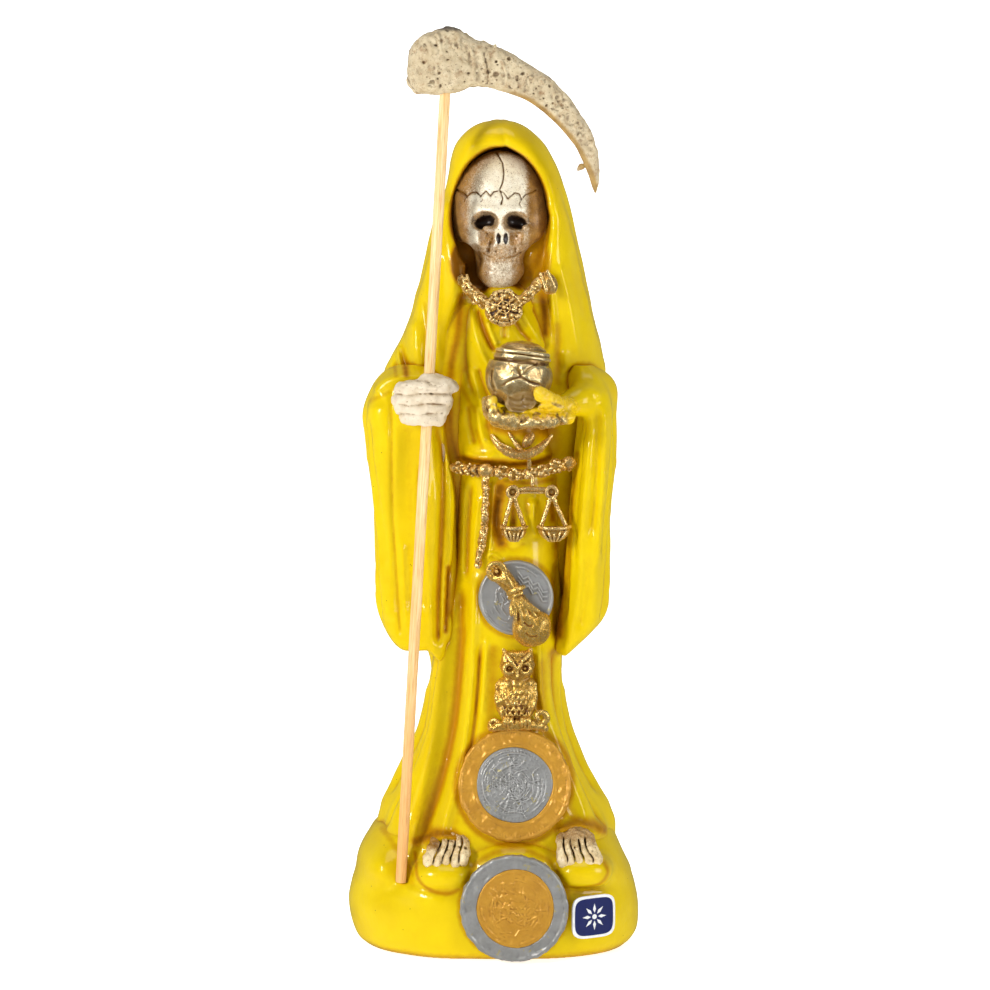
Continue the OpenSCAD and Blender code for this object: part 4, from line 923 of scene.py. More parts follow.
for s_ in (-1, 1):
    S.ell((1.4 + s_ * 3.85, -11.8, 181.3), (2.95, 4.0, 2.0), k=.8, cut=True, R=turn(ry=s_ * 9))
    S.ell((1.4 + s_ * 2.7, -11.9, 182.3), (1.6, 3.2, 1.2), k=.5, cut=True)
    S.ell((1.4 + s_ * 4.9, -11.2, 180.9), (1.7, 3.4, 1.5), k=.5, cut=True)
    S.ell((1.5 + s_ * 3.5, -12.4, 177.6), (1.8, 1.9, 2.0), k=1.6, cut=True)
    S.cap((1.75 + s_ * .7, -13.4, 178.0), (1.75 + s_ * .9, -12.8, 176.2), .36, .46, k=.25, cut=True)
S.F += S.noise(3.0, .10, 31) + S.noise(1.0, .05, 32)
for pts, w, d in (
        ([(-10.2, 189.8), (-9.4, 189.4), (-7.6, 188.5), (-6.8, 187.7), (-5.8, 188.6), (-4.6, 188.7), (-3.5, 187.7), (-2.2, 188.9), (-1.1, 187.7), (-.3, 188.7), (1.1, 189.0)], .24, .7),
        ([(1.1, 189.1), (2.2, 188.4), (3.2, 187.0), (4.9, 188.5), (6.0, 188.2), (6.5, 186.9), (7.6, 188.1), (9.2, 188.7), (10.4, 189.6)], .22, .6),
        ([(.2, 199), (.7, 198), (1.2, 197.1), (1.9, 195.8), (2.2, 193.2), (1.9, 191.0), (1.1, 189.1), (1.6, 188.2), (1.9, 187.1), (1.4, 185.2)], .24, .65),
        ([(6.5, 186.9), (6.0, 185.8), (6.6, 184.8)], .17, .35), ([(-6.8, 187.7), (-7.6, 186.4)], .16, .4),
        ([(-3.5, 187.7), (-3.0, 186.8), (-3.6, 186.2)], .15, .35),
        ([(-3.1, 173.9), (-1.6, 173.0), (.6, 172.5), (2.8, 172.6), (4.8, 173.0), (6.6, 174.1)], .24, .5)):
    S.engrave(pts, w, d, ymax=2, taper=.04, sharp=True)
for i in range(7):
    t = -2.0 + i * 1.15
    lift = .05 * (t - 1.6) ** 2
    S.engrave([(t, 174.4 + lift), (t + .1, 172.8 + lift)], .16, .3, ymax=-6)
    S.engrave([(t + .5, 172.3 + lift), (t + .45, 170.9 + lift)], .15, .22, ymax=-6)
S.engrave([(-2.6, 170.4), (.4, 169.6), (3.2, 169.7), (5.8, 170.8)], .4, .25, ymax=-5)
S.engrave([(-2.8, 175.4), (-1.2, 174.6), (1.6, 174.5), (4.4, 174.8), (6.2, 175.8)], .35, .25, ymax=-5)
for s_ in (-1, 1):                                             # ragged rims of the eye sockets
    for k in range(9):
        a = (k + .4 * s_) * 2 * math.pi / 9
        c = (1.4 + s_ * 3.85 + 2.1 * math.cos(a), -11.6, 181.5 + 1.35 * math.sin(a))
        S.ell(c, V([1.0, 2.6, .8]) * rng.uniform(.6, 1.0), k=.5, cut=True)
for c, r in (((-1.7, -9.6, 179.8), (1.3, 1.0, .7)), ((-3.9, -10.2, 183.4), (1.2, .9, .5)), ((6.6, -10.4, 183.5), (1.4, .9, .5)), ((7.6, -9.2, 180.0), (.9, .9, .7))):
    S.ell(c, r, k=.4)
for k in range(70):                                            # pitted under the eyes
    s_ = -1 if k % 2 else 1
    c = (1.4 + s_ * rng.uniform(1.6, 6.2), -11.6 + rng.uniform(0, 1.6), rng.uniform(176.6, 180.6))
    S.ell(c, V([1, 1.2, 1]) * rng.uniform(.16, .38), k=.15, cut=bool(k % 4))
for k in range(120):
    c = (1.5 + rng.uniform(-5, 5), -12.4 + rng.uniform(0, 2.4), rng.uniform(171, 180))
    S.ell(c, V([1, 1, 1]) * rng.uniform(.12, .3), k=.15, cut=bool(k % 3))
for s_, y_ in ((-1, 0), (1, 0)):
    S.engrave([(1.7 + s_ * 2.3, 178.4), (1.7 + s_ * 3.0, 176.0), (1.7 + s_ * 3.3, 173.6)], .45, .35, ymax=-4)
# brown wash on the skull, partly painted shade: darker on the sides where it turns away and towards the back, and round
# the crown, eyes, nose and teeth
def wash_and_shade(mm, p):
    x, y, z = mm.T
    w = np.maximum(step(-4.8, -8.0, x) * 1.1, step(6.4, 9.4, x) * 1.2)
    w = np.maximum(w, step(4.5, 10.5, np.hypot(x - 3.0, (z - 189) * .66)) * step(186, 190, z) * 1.0)
    w = np.maximum(w, step(0, -4, x) * step(187, 189.5, z) * .38)
    w = np.maximum(w, step(180.2, 178.4, z) * step(174.2, 176.2, z) * step(1.2, 2.2, np.abs(x - 1.7)) * step(6.8, 4.8, np.abs(x - 1.7)) * 1.0)
    w = np.maximum(w, step(177, 173, z) * step(3.2, 5.0, np.abs(x - 1.6)) * 1.1)
    w = np.maximum(w, step(176.8, 175.4, z) * step(170.2, 171.8, z) * .74)
    w = np.maximum(w, step(4.4, 6.4, x) * step(184, 181, z) * .7)
    w = np.maximum(w, step(172.4, 170.8, z) * (.46 + .45 * step(1.8, 4, np.abs(x - 1.4))))
    q = np.minimum(np.hypot((x + 2.45) / 3.3, (z - 181.4) / 2.5), np.hypot((x - 5.25) / 3.4, (z - 181.2) / 2.6))
    w = np.maximum(w, step(1.25, .95, q) * .8)
    return np.maximum(w, .16) + step(-6.4, -2, y) * .9


# painted shade at the bottom of the eye sockets and nose holes
def socket_shade(mm, p):
    x, y, z = mm.T
    o = np.zeros(len(x))
    for s2 in (-1, 1):
        q = ((x - 1.4 - s2 * 3.85) / 3.3) ** 2 + ((z - 181.6) / 2.4) ** 2
        o = np.maximum(o, step(1.1, .8, q) * step(-10.2, -8.4, y) * .95)
        o = np.maximum(o, step(.75, .45, np.hypot(x - 1.75 - s2 * .88, (z - 177.3) * .42)) * step(-12.9, -12.2, y) * 1.0)
    return o


S.cast("skull_sculpt", M_SKULL, replaces=["skull"], slot="bone_patina", attrs={"wash_and_shade": wash_and_shade, "socket_shade": socket_shade}, rad=.5)

# ---------------------------------------------------------------- right fist
S = Clay((-27.5, -25.5, 129.5), (-6.5, -8, 146.5), 0.18)
S.ell((-17.4, -17.6, 137.4), (6.9, 3.9, 5.4), k=1)
for xl_, xr_, z, dz in ((-24.2, -10.7, 140.7, .3), (-24.5, -10.9, 138.2, .0), (-24.0, -11.8, 135.9, -.2), (-22.8, -12.8, 133.7, -.2)):
    S.tube([(xl_ + .9, -17.4, z - .2), (xl_ + 1.6, -20.0, z - dz), (xl_ + 5.2, -21.5, z + .15), (xr_ - 4.2, -21.5, z + .2), (xr_ - 1.4, -20.0, z + dz), (xr_ - .9, -17.6, z)], [1.3, 1.45, 1.5, 1.4, 1.5, 1.3], k=.7)
S.ell((-14.0, -18.6, 142.2), (4.7, 3.1, 1.9), k=.7, R=turn(ry=11))
S.ell((-10.6, -18.8, 140.9), (1.9, 1.9, 1.5), k=.5)
S.ell((-20.2, -18.4, 141.6), (2.8, 2.6, 1.2), k=.7, R=turn(ry=-14))
for pts in ([(-24.6, 139.6), (-21, 139.3), (-17, 139.7), (-13, 139.5), (-10.6, 139.2)], [(-24.4, 137.1), (-20, 136.8), (-16, 137.2), (-11.4, 136.9)], [(-23.4, 134.9), (-19, 134.6), (-15, 134.9), (-12, 134.8)], [(-17.4, 143.0), (-14, 141.4), (-11.4, 141.9)], [(-19.4, 141.4), (-17, 140.6), (-13.6, 140.6)]):
    S.engrave(pts, .3, .26, ymax=-15)
S.cap((-20.8, -16, 137.4), (-21.8, -9.4, 137.4), 3.5, 3.4, k=1)
S.F += S.noise(1.6, .40, 41) + S.noise(.7, .26, 42)
for i in range(70):
    c = (rng.uniform(-24, -10.5), rng.uniform(-23, -20.6), rng.uniform(133, 143))
    S.ell(c, V([1.3, .8, .5]) * rng.uniform(.14, .34), k=.2, cut=True)
rr, tt = pole_d(S)
S.F = smax(S.F, (1.42 - rr).astype(F4), .12)
S.cast("right_hand_sculpt", M_PASTE, replaces=["right_hand"], slot="bone_paste", rad=.45)

# ---------------------------------------------------------------- globe and left hand
GC = V([5.8, -22.0, 144.1])
S = Clay((-4, -31.6, 134.6), (15.6, -12.4, 153.6), 0.16)
S.ell(GC + V([0, 0, -.2]), (8.1, 8.1, 7.9), k=.1)
S.ell(GC + V([.9, .4, 5.3]), (6.0, 6.0, 3.1), k=.2, R=turn(ry=6))
for r_, dz_ in ((6.35, 4.5), (6.15, 5.55)):
    S.do(lambda X, Y, Z: np.sqrt((np.hypot(X - GC[0] - .9, Y - GC[1] - .3) - r_) ** 2 + (Z - GC[2] - dz_ + .12 * (X - GC[0]) + .05 * (Y - GC[1])) ** 2) - .5, GC - 8, GC + 8, .12, False)
S.do(lambda X, Y, Z: np.sqrt((np.hypot(X - GC[0] - .6, Y - GC[1] - .2) - 7.2) ** 2 + (Z - GC[2] - 3.5 + .12 * (X - GC[0]) + .05 * (Y - GC[1])) ** 2) - .55, GC - 9, GC + 9, .5, True)
for pts, w, d in (([(5.4, 147.0), (6.0, 145.2), (6.2, 143.8)], .5, .35),
                  ([(1.4, 141.6), (3.4, 143.2), (6.2, 143.9), (8.6, 142.8), (11.2, 142.0)], .32, .38),
                  ([(6.2, 143.9), (5.2, 145.8), (2.8, 147.6)], .25, .22), ([(6.4, 144.0), (8.0, 146), (10.6, 147.2)], .25, .22),
                  ([(-.6, 146), (-.9, 143), (.2, 140)], .35, .25)):
    S.engrave(pts, w, d, ymax=-20)
S.ell((6.2, -26.9, 137.8), (3.9, 1.3, 2.5), k=.9, R=turn(ry=-10))
for pts in ([(3.0, 139.2), (5.2, 138.4), (7.4, 138.8), (9.6, 138.4)], [(3.2, 137.6), (5.6, 137.0), (8.6, 137.4)], [(4.0, 136.4), (6.4, 135.9), (8.6, 136.2)], [(6.9, 139.8), (6.6, 138.0), (7.2, 136.4)]):
    S.engrave(pts, .3, .28, ymax=-20)
S.F += S.noise(2.2, .18, 51) + S.noise(.9, .12, 52)


# painted shadow: dull brown on the lower front of the globe, over the boss
def globe_shadow(mm, p):
    x, y, z = mm.T
    return step(1.15, .8, np.hypot((x - 6.2) / 3.7, (z - 137.9 - .15 * (x - 6)) / 2.5)) * step(-24, -26, y) * .9


S.cast("globe_sculpt", M_GLOBE, replaces=["globe"], slot="gilt_paint", attrs={"paint": globe_shadow}, rad=.6)

S = Clay((-5, -31, 129.6), (22.5, -12, 143.6), 0.17)
S.ell((9.0, -21.6, 135.0), (10.2, 5.4, 2.3), k=1, R=turn(ry=-2))
S.cap((15, -20, 135.3), (20.2, -15.6, 137.0), 2.6, 2.8, k=1.4)
for j, y in enumerate((-27.2, -25.0, -22.6, -20.2)):
    e = (0.8, 0.1, 0, .9)[j]
    S.tube([(11, y * .9 - 2.0, 133.9), (5, y - .4, 132.9), (1.2 + e, y, 133.4), (-1.1 + e, y, 135.0), (-1.8 + e, y + .2, 137.0), (-1.6 + e, y + .6, 138.4)], [1.5, 1.35, 1.35, 1.3, 1.2, .9], k=.5)
S.tube([(18.0, -20.5, 136.6), (15.4, -24.6, 137.4), (12.6, -27.6, 139.0), (10.6, -29.2, 140.3)], [1.9, 1.5, 1.3, 1.0], k=.7)
S.tube([(16.6, -24.2, 134.6), (10, -27.6, 133.3), (4, -28.2, 133.2)], [1.2, 1.0, .8], k=.9)
for c, r in (((.4, -25.6, 134.3), (2.0, 3.0, 2.4)), ((3.6, -27.2, 133.2), (3.0, 2.4, 1.9)), ((8.2, -27.8, 132.9), (3.0, 2.2, 1.5)), ((12.6, -26.6, 133.2), (3.0, 2.6, 1.6)), ((16.6, -24, 133.9), (2.8, 2.8, 1.6)),
             ((14.2, -26.2, 136.6), (2.4, 1.6, 1.3)), ((17.4, -22.6, 136.6), (2.2, 2.0, 1.8)), ((11.4, -28.6, 139.3), (1.5, 1.2, 1.3)), ((12.4, -27.2, 137.2), (2.0, 1.4, 1.0)), ((-1.0, -24, 136.4), (1.3, 2.6, 2.2))):
    S.ell(c, r, k=.35, R=turn(ry=-8))
S.F += S.noise(1.6, .42, 61) + S.noise(.7, .26, 62)
S.ell(GC, (8.2, 8.2, 8.2), k=.3, cut=True)


def hand_paint(mm, p):
    x, y, z = mm.T
    line = np.interp(x, [-3, 0, 3, 9, 15, 20], [137.6, 136.2, 134.9, 134.3, 134.6, 134.2])
    n = .5 * np.sin(x * 2.1 + y) + .4 * np.sin(x * 5.3)
    k = np.sin(x * 1.7 + z * 2.3) + np.sin(x * .9 - y * 1.3 + 1) + np.sin(z * 3.1 + y)
    show = step(.9, 1.7, k) * step(17.5, 15.5, x) * step(-24, -26, y) * step(138.4, 137.2, z)
    return np.maximum(step(-.4, .5, z - line + n * .7) * step(-13, -15.5, y) * .95 * (1 - .85 * show) * step(-1.6, .2, x + .5), step(16.5, 18.5, x))


S.cast("left_hand_sculpt", M_HAND, replaces=["left_hand"], slot="gilt_paint", attrs={"paint": hand_paint}, rad=.5)


# ---------------------------------------------------------------- nuggety cords
def nuggets(S, pts, r, seed, gap=.75, core=.8):
    rg = np.random.RandomState(seed)
    P_ = curve(pts, 30)
    L_ = np.concatenate([[0], np.cumsum(np.linalg.norm(P_[1:] - P_[:-1], axis=1))])
    S.tube(pts, r * core, k=.3)
    for d in np.arange(r * .5, L_[-1] - r * .3, r * gap):
        c = V([np.interp(d, L_, P_[:, k]) for k in range(3)])
        for _ in range(4):
            a = rg.uniform(0, 2 * math.pi)
            o = V([rg.uniform(-.3, .3), -abs(math.cos(a)) * .62, math.sin(a) * .72]) * r
            S.ell(c + o, V([rg.uniform(.3, .7), rg.uniform(.3, .5), rg.uniform(.25, .5)]) * r, k=.07, R=turn(rg.uniform(0, 180), rg.uniform(-60, 60), rg.uniform(0, 180)))
    S.F += S.noise(.7, .3, seed + 300)


def yb_(x):
    return -13.5 + (x - 4.8) ** 2 / 90


S = Clay((-12, -17, 116.6), (21.6, -8, 124.4), 0.15)
nuggets(S, [(x, yb_(x), z) for x, z in ((-9.9, 120.9), (-6, 120.4), (-2.2, 120.4), (2, 119.8), (6, 119.4), (10, 119.8), (14, 120.7), (19.2, 121.9))], 1.45, 71)
S.ell((-2.4, -14.4, 120.4), (1.9, 1.3, 1.7), k=.5)
S.ell((15.0, -12.9, 121.4), (1.9, 1.3, 1.9), k=.4)
S.ell((18.3, -12.2, 122.2), (1.8, 1.2, 1.6), k=.4)
for k in range(7):
    a = k * 2 * math.pi / 7
    S.ell((15.0 + 1.2 * math.cos(a), -13.9, 121.4 + 1.2 * math.sin(a)), (.5, .45, .5), k=.1)
S.cast("belt_cord_sculpt", M_GILT, replaces=["belt_cord"], slot="gilt_paint", rad=.35)
S = Clay((-7, -16.4, 95.4), (1, -11, 119.6), 0.15)
nuggets(S, [(-2.3, -14.0, 118.6), (-2.4, -13.7, 112), (-2.7, -13.6, 106), (-3.5, -13.8, 101), (-4.3, -13.9, 97)], 1.1, 72)
S.cast("belt_tail_sculpt", M_GILT, replaces=["belt_tail"], slot="gilt_paint", rad=.35)
S = Clay((-11, -16, 158.6), (15, -9.4, 169.6), 0.15)
nuggets(S, [(-8.0, -11.3, 167.2), (-6.2, -12.4, 165.0), (-4.4, -13.1, 163.0), (-2.2, -13.5, 161.6), (.4, -13.6, 160.9)], 1.6, 73)
nuggets(S, [(4.0, -13.6, 160.9), (6.6, -13.5, 162.2), (8.8, -13.2, 164.2), (11.0, -12.8, 166.6)], 1.6, 74)
S.cap((.2, -13.2, 160.8), (4.2, -13.2, 160.8), .8, k=.4)
S.cast("necklace_chain_sculpt", M_GILT, replaces=["necklace_chain"], slot="gilt_paint", rad=.35)

# mantle clasp
S = Clay((9.6, -16.4, 161.8), (17, -10, 171), 0.14)
S.ell((13.1, -13.0, 166.4), (2.1, 1.5, 3.0), k=.3, R=turn(ry=-24))
S.cap((11.2, -13.9, 168.6), (12.6, -14.3, 164.6), .5, .4, k=.3)
S.cap((12.8, -14.3, 169.2), (14.6, -13.9, 165.4), .4, .35, k=.3)
S.F += S.noise(.9, .12, 75)
S.cast("mantle_clasp_sculpt", M_GILT, replaces=["mantle_clasp"], slot="gilt_paint", rad=.4)


# ---------------------------------------------------------------- flat round pieces, modelled face up
def placed(c, tilt):
    R_ = turn(rx=tilt)
    return lambda mm: mm @ R_.T + V(c)


def disc(r, t, h=.16):
    D = Clay((-r - .8, -r - .8, -.8), (r + .8, r + .8, t + 1.2), h)
    D.rad = np.sqrt(D.x**2 + D.y**2)
    D.ang = np.arctan2(D.y, D.x)
    return D


def ring_h(D, r0, w, a):
    return a * np.exp(-((D.rad - r0) / w) ** 2)


def ray_h(D, n, r0, r1, w, a, ph=0.0):
    s = (D.ang + ph) * n / (2 * math.pi)
    d = np.abs(s - np.round(s)) * 2 * math.pi / n * D.rad
    return a * np.exp(-(d / w) ** 2) * step(r0, r0 + .3, D.rad) * step(r1, r1 - .3, D.rad)


def scribble(D, n, r0, r1, w, a, seed, l0=.3, l1=1.3):
    """Scratches in every direction."""
    rg = np.random.RandomState(seed)
    o = np.zeros(D.rad.shape[:2], F4)
    for _ in range(n):
        r, t, b, l = rg.uniform(r0, r1), rg.uniform(0, 6.283), rg.uniform(0, 3.14), rg.uniform(l0, l1)
        c = V([r * math.cos(t), r * math.sin(t)])
        d_ = V([math.cos(b), math.sin(b)]) * l / 2
        bend = V([-d_[1], d_[0]]) * rg.uniform(-.5, .5)
        i0, i1 = (int((c[0] - l1 - .9 - D.lo[0]) / D.h), int((c[0] + l1 + .9 - D.lo[0]) / D.h))
        j0, j1 = (int((c[1] - l1 - .9 - D.lo[1]) / D.h), int((c[1] + l1 + .9 - D.lo[1]) / D.h))
        i0, j0 = max(i0, 0), max(j0, 0)
        dd, _t = dist2(D.x[i0:i1, :, 0], D.y[:, j0:j1, 0], [c - d_, c + bend, c + d_])
        o[i0:i1, j0:j1] = np.maximum(o[i0:i1, j0:j1], np.exp(-(dd / w) ** 2))
    return (o * a)[:, :, None]


def arcs(D, n, r0, r1, w, a, seed, span=.8):
    """Worn pieces of rings, each a short arc round the middle."""
    rg = np.random.RandomState(seed)
    o = np.zeros(D.rad.shape[:2], F4)
    R_, A_ = D.rad[:, :, 0], D.ang[:, :, 0]
    for _ in range(n):
        r, t, s_, tilt = rg.uniform(r0, r1), rg.uniform(-3.14, 3.14), rg.uniform(.2, 1) * span, rg.uniform(-.5, .5)
        da = np.abs((A_ - t + math.pi) % (2 * math.pi) - math.pi)
        o = np.maximum(o, np.exp(-((R_ - r - tilt * da) / w) ** 2) * step(s_ / 2, s_ / 2 - .12, da) * rg.uniform(.5, 1))
    return (o * a).astype(F4)[:, :, None]


def finish_disc(D, t, edge, H, rnd=.35):
    D.F = smax((D.rad - edge + 0 * D.z).astype(F4), (D.z - t - H).astype(F4), rnd)
    D.F = np.maximum(D.F, -D.z).astype(F4)
    D.F += D.noise(1.0, .045, 81) + D.noise(3.0, .07, 82)
    return D


# medallion on the necklace: a rosette
D = disc(4.6, 1.9, .13)
H = ring_h(D, 3.9, .3, .3) + ring_h(D, 1.5, .22, .35)
for k in range(8):
    a = 2 * math.pi * k / 8
    H = H + .55 * np.exp(-(((D.x - 2.75 * math.cos(a)) ** 2 + (D.y - 2.75 * math.sin(a)) ** 2) / .5))
H = H + .8 * np.exp(-(D.rad / .7) ** 2) - ray_h(D, 16, 3.2, 4.5, .16, .3) + ray_h(D, 6, .6, 3.6, .35, .5, .3)
finish_disc(D, 1.6, 4.6, H, .5)
D.F += D.noise(.8, .26, 83) + D.noise(.45, .12, 84)
D.cast("necklace_medallion_sculpt", M_GILT, replaces=["necklace_medallion"], slot="gilt_paint", place=placed((2.2, -13.3, 160.3), 84), rad=.4)


def edge_wobble(D, r, a, seed):
    rg = np.random.RandomState(seed)
    w = 0
    for k in range(1, 6):
        w = w + rg.uniform(-1, 1) / k * np.cos(k * D.ang + rg.uniform(0, 6.28))
    return r + a * w


# coin on the hem: gold ring, silver core
D = disc(14.0, 2.0, .17)
core = edge_wobble(D, 9.35, .35, 3)
H = ring_h(D, 13.4, .4, .28) + ray_h(D, 110, 12.2, 13.0, .12, .12)
H = H + ring_h(D, 7.9, .16, .14) + ring_h(D, 3.5, .16, .22) + ray_h(D, 32, 5.0, 7.7, .12, .12) + ray_h(D, 60, 7.9, 9.0, .12, .12)
H = H + ring_h(D, 5.0, .14, .18) + ring_h(D, 2.1, .14, .16) + ring_h(D, 6.4, .14, .12) + ray_h(D, 8, 2.2, 3.4, .3, .18, .5)
H = H + arcs(D, 90, .8, 8.8, .11, .34, 21, .8) + scribble(D, 46, .6, 6.6, .1, .30, 22, 2.4, 5.0) + ring_h(D, 10.3, .3, .12)
D2 = finish_disc(D, 1.9, 14.0, H)
D2.F += (D2.noise(1.3, .24, 85) + D2.noise(.6, .15, 86)) * step(9.6, 10.4, D.rad)
full = D2.F.copy()
D2.F = np.maximum(full, (core + .03 - D.rad + 0 * D.z)).astype(F4)
D2.cast("upper_coin_ring_sculpt", M_COINGOLD, replaces=["upper_coin_ring"], slot="coin_gold_paint", place=placed((4.8, -17, 42.4), 80), rad=.4)
D2.F = np.maximum(full, (D.rad - core + .03 + 0 * D.z)).astype(F4)
D2.cast("upper_coin_core_sculpt", M_SILVER, replaces=["upper_coin_core"], slot="silver_paint", place=placed((4.8, -17, 42.4), 80), rad=.4)
# coin on the plinth: silver ring, gold core
D = disc(13.2, 2.0, .17)
core = edge_wobble(D, 9.6, .4, 8)
H = ring_h(D, 12.6, .4, .26) + .22 * step(.9, .4, np.maximum(np.abs(D.x), np.abs(D.y - 1.5)) / 3.4) * np.abs(np.sin(D.y * 1.7)) ** .5
H = H + arcs(D, 90, .6, 8.8, .2, .28, 23, .6) + scribble(D, 30, .6, 6.4, .16, .2, 24, 2.0, 4.4)
H = H + ring_h(D, 6.6, .25, .12) * (D.y < 1) + ring_h(D, 8.9, .2, .12) + .16 * np.exp(-((np.abs(D.x) - 2.6) ** 2 + (D.y + 3.6) ** 2) / 1.2)
finish_disc(D, 1.9, 13.2, H)
D.F += D.noise(1.1, .2, 87) + D.noise(.5, .1, 88)
full = D.F.copy()
D.F = np.maximum(full, (core + .03 - D.rad + 0 * D.z)).astype(F4)
D.cast("lower_coin_ring_sculpt", M_SILVER, replaces=["lower_coin_ring"], slot="silver_paint", place=placed((4.7, -26.4, 13.8), 89), rad=.4)
D.F = np.maximum(full, (D.rad - core + .03 + 0 * D.z)).astype(F4)
D.cast("lower_coin_core_sculpt", M_COINGOLD, replaces=["lower_coin_core"], slot="coin_gold_paint", place=placed((4.7, -26.4, 13.8), 89), rad=.4)
# silver coin behind the pouch: stepped pattern, rim
D = disc(9.3, 1.8, .15)
H = ring_h(D, 8.8, .3, .3)
zig = [[(.6, 6.4 - o), (1.8, 4.7 - o), (3.0, 5.3 - o), (4.2, 3.2 - o), (5.4, 3.7 - o), (6.6, 1.4 - o), (7.6, 1.5 - o)] for o in (0, 1.15, 2.3)] + [[(.2, 7.6), (2.0, 7.5), (3.6, 6.6), (5.2, 5.4)]]
for z_ in zig:
    dd, _t = dist2(D.x[:, :, 0], D.y[:, :, 0], z_)
    H = H + (.34 * np.exp(-(dd / .17) ** 2))[:, :, None]
lefts = (arcs(D, 120, .8, 8.3, .12, .3, 25, .6) + scribble(D, 40, .6, 6.4, .11, .26, 26, 1.8, 4.0)) * step(1.5, -1.5, D.x + .6 * D.y)
H = H + lefts
finish_disc(D, 1.5, 9.3, H)
D.F += D.noise(1.2, .05, 84)
place_silver = placed((5.2, -12.9, 88.7), 88)
D.cast("silver_coin_sculpt", M_SILVER, replaces=["silver_coin"], slot="silver_paint", place=place_silver, rad=.4)

# ---------------------------------------------------------------- pouch
S = Clay((-4.4, -20.4, 73.6), (16, -11, 101), 0.15)
S.ell((9.0, -15.2, 81.2), (4.9, 3.2, 4.6), k=1)
S.cap((7.8, -15.2, 84.4), (5.2, -15.0, 89.6), 3.2, 1.5, k=1.2)
S.ell((11.6, -15.2, 83.2), (2.2, 2.2, 2.0), k=1)
for i, (dx, dz) in enumerate(((-2.6, -6), (-1.2, -8), (.8, -8.6), (2.8, -8), (4.6, -6.2), (5.6, -4.6))):
    S.tube([(5.1 + dx * .12, -16.3, 89.6), (5.6 + dx * .55, -17.6, 87.0), (6.2 + dx * .85, -18.1, 89.6 + dz * .8)], [.35, .55, .2], k=.5)
S.tube([(3.4, -15.8, 89.8), (4.6, -17.0, 90.6), (6.0, -16.8, 91.4), (7.0, -15.4, 91.6)], .55, k=.2)
S.tube([(3.6, -15.8, 88.9), (5.0, -17.0, 89.6), (6.5, -16.6, 90.3)], .5, k=.2)
S.cap((4.9, -15.2, 90.8), (1.2, -15.0, 94.8), 1.7, 2.4, k=.8)
for k in range(5):
    a = math.radians(30 + 40 * k)
    S.tube([(4.6, -16.6, 91.2), (3.0 + .5 * math.cos(a), -17.3, 93.2 + .7 * math.sin(a)), (1.0 + 2.0 * math.cos(a + .5), -16.6, 95.2 + 2.0 * math.sin(a + .5))], [.35, .42, .35], k=.3)
th = np.linspace(0, 2 * math.pi, 15)
S.tube([(.4 + 2.1 * math.cos(t), -16.5 - .2 * math.sin(t), 95.6 + 2.1 * math.sin(t)) for t in th], .5, k=.3, n=2)
S.ell((.4, -17.6, 95.6), (1.2, 1.6, 1.2), k=.4, cut=True)
S.ell((.4, -16.6, 95.6), (.55, .7, .55), k=.3)
S.F += S.noise(1.2, .12, 91) + S.noise(.6, .06, 92)
S.engrave([(7.4, 80.6), (8.8, 79.6), (10.6, 79.8)], .35, .3, ymax=-15)
S.engrave([(7.0, 83.2), (8.4, 82.2), (9.4, 82.6)], .3, .3, ymax=-15)
S.cast("money_pouch_sculpt", M_OWL, replaces=["money_pouch"], slot="gilt_paint", rad=.4)

# ---------------------------------------------------------------- owl
S = Clay((-3, -21.6, 53.6), (15.4, -11.6, 79), 0.13)
S.ell((5.2, -15.2, 63.4), (5.2, 3.6, 6.5), k=1)
S.box((5.2, -15.0, 65.4), (4.8, 2.6, 3.6), rnd=1.8, k=1)
S.ell((5.5, -15.4, 71.8), (4.3, 3.3, 3.8), k=.6)
S.box((5.5, -15.2, 73.2), (3.9, 2.4, 2.4), rnd=1.1, k=.8)
for s_ in (-1, 1):
    S.cap((5.5 + s_ * 2.5, -16.0, 74.2), (5.5 + s_ * 3.3, -16.2, 76.1), 1.6, .5, k=.5)
    S.tube([(5.5 + s_ * 3.2, -17.4, 75.4), (5.5 + s_ * 1.6, -18.5, 73.9), (5.5 + s_ * .3, -19.0, 71.8)], [.4, .45, .3], k=.25)
    ex = 5.5 + s_ * 1.95
    S.tube([(ex + 1.25 * math.cos(t), -18.2, 71.7 + 1.2 * math.sin(t)) for t in th], .36, k=.3, n=2)
    S.ell((ex, -18.4, 71.7), (.8, .6, .7), k=.2, cut=True)
    S.ell((ex, -18.1, 71.7), (.42, .5, .36), k=.1)
    for j in range(5):                                       # wing feathers
        S.tube([(5.2 + s_ * (4.6 - j * .25), -16.2 - j * .25, 67.4 - j * .9), (5.2 + s_ * (4.5 - j * .35), -16.9 - j * .2, 63.0 - j * .8), (5.2 + s_ * (3.2 - j * .4), -17.3 - j * .1, 58.9 - j * .1)], [.5, .6, .25], k=.18)
    for j in (-1, 0, 1):                                     # talons
        S.tube([(5.4 + s_ * 2.0 + j * .8, -18.0, 59.6), (5.4 + s_ * 2.1 + j * .85, -19.3, 58.8), (5.4 + s_ * 2.1 + j * .85, -19.3, 57.6)], [.5, .5, .3], k=.2)
S.cap((5.5, -18.6, 71.0), (5.5, -19.2, 69.4), .55, .2, k=.2)
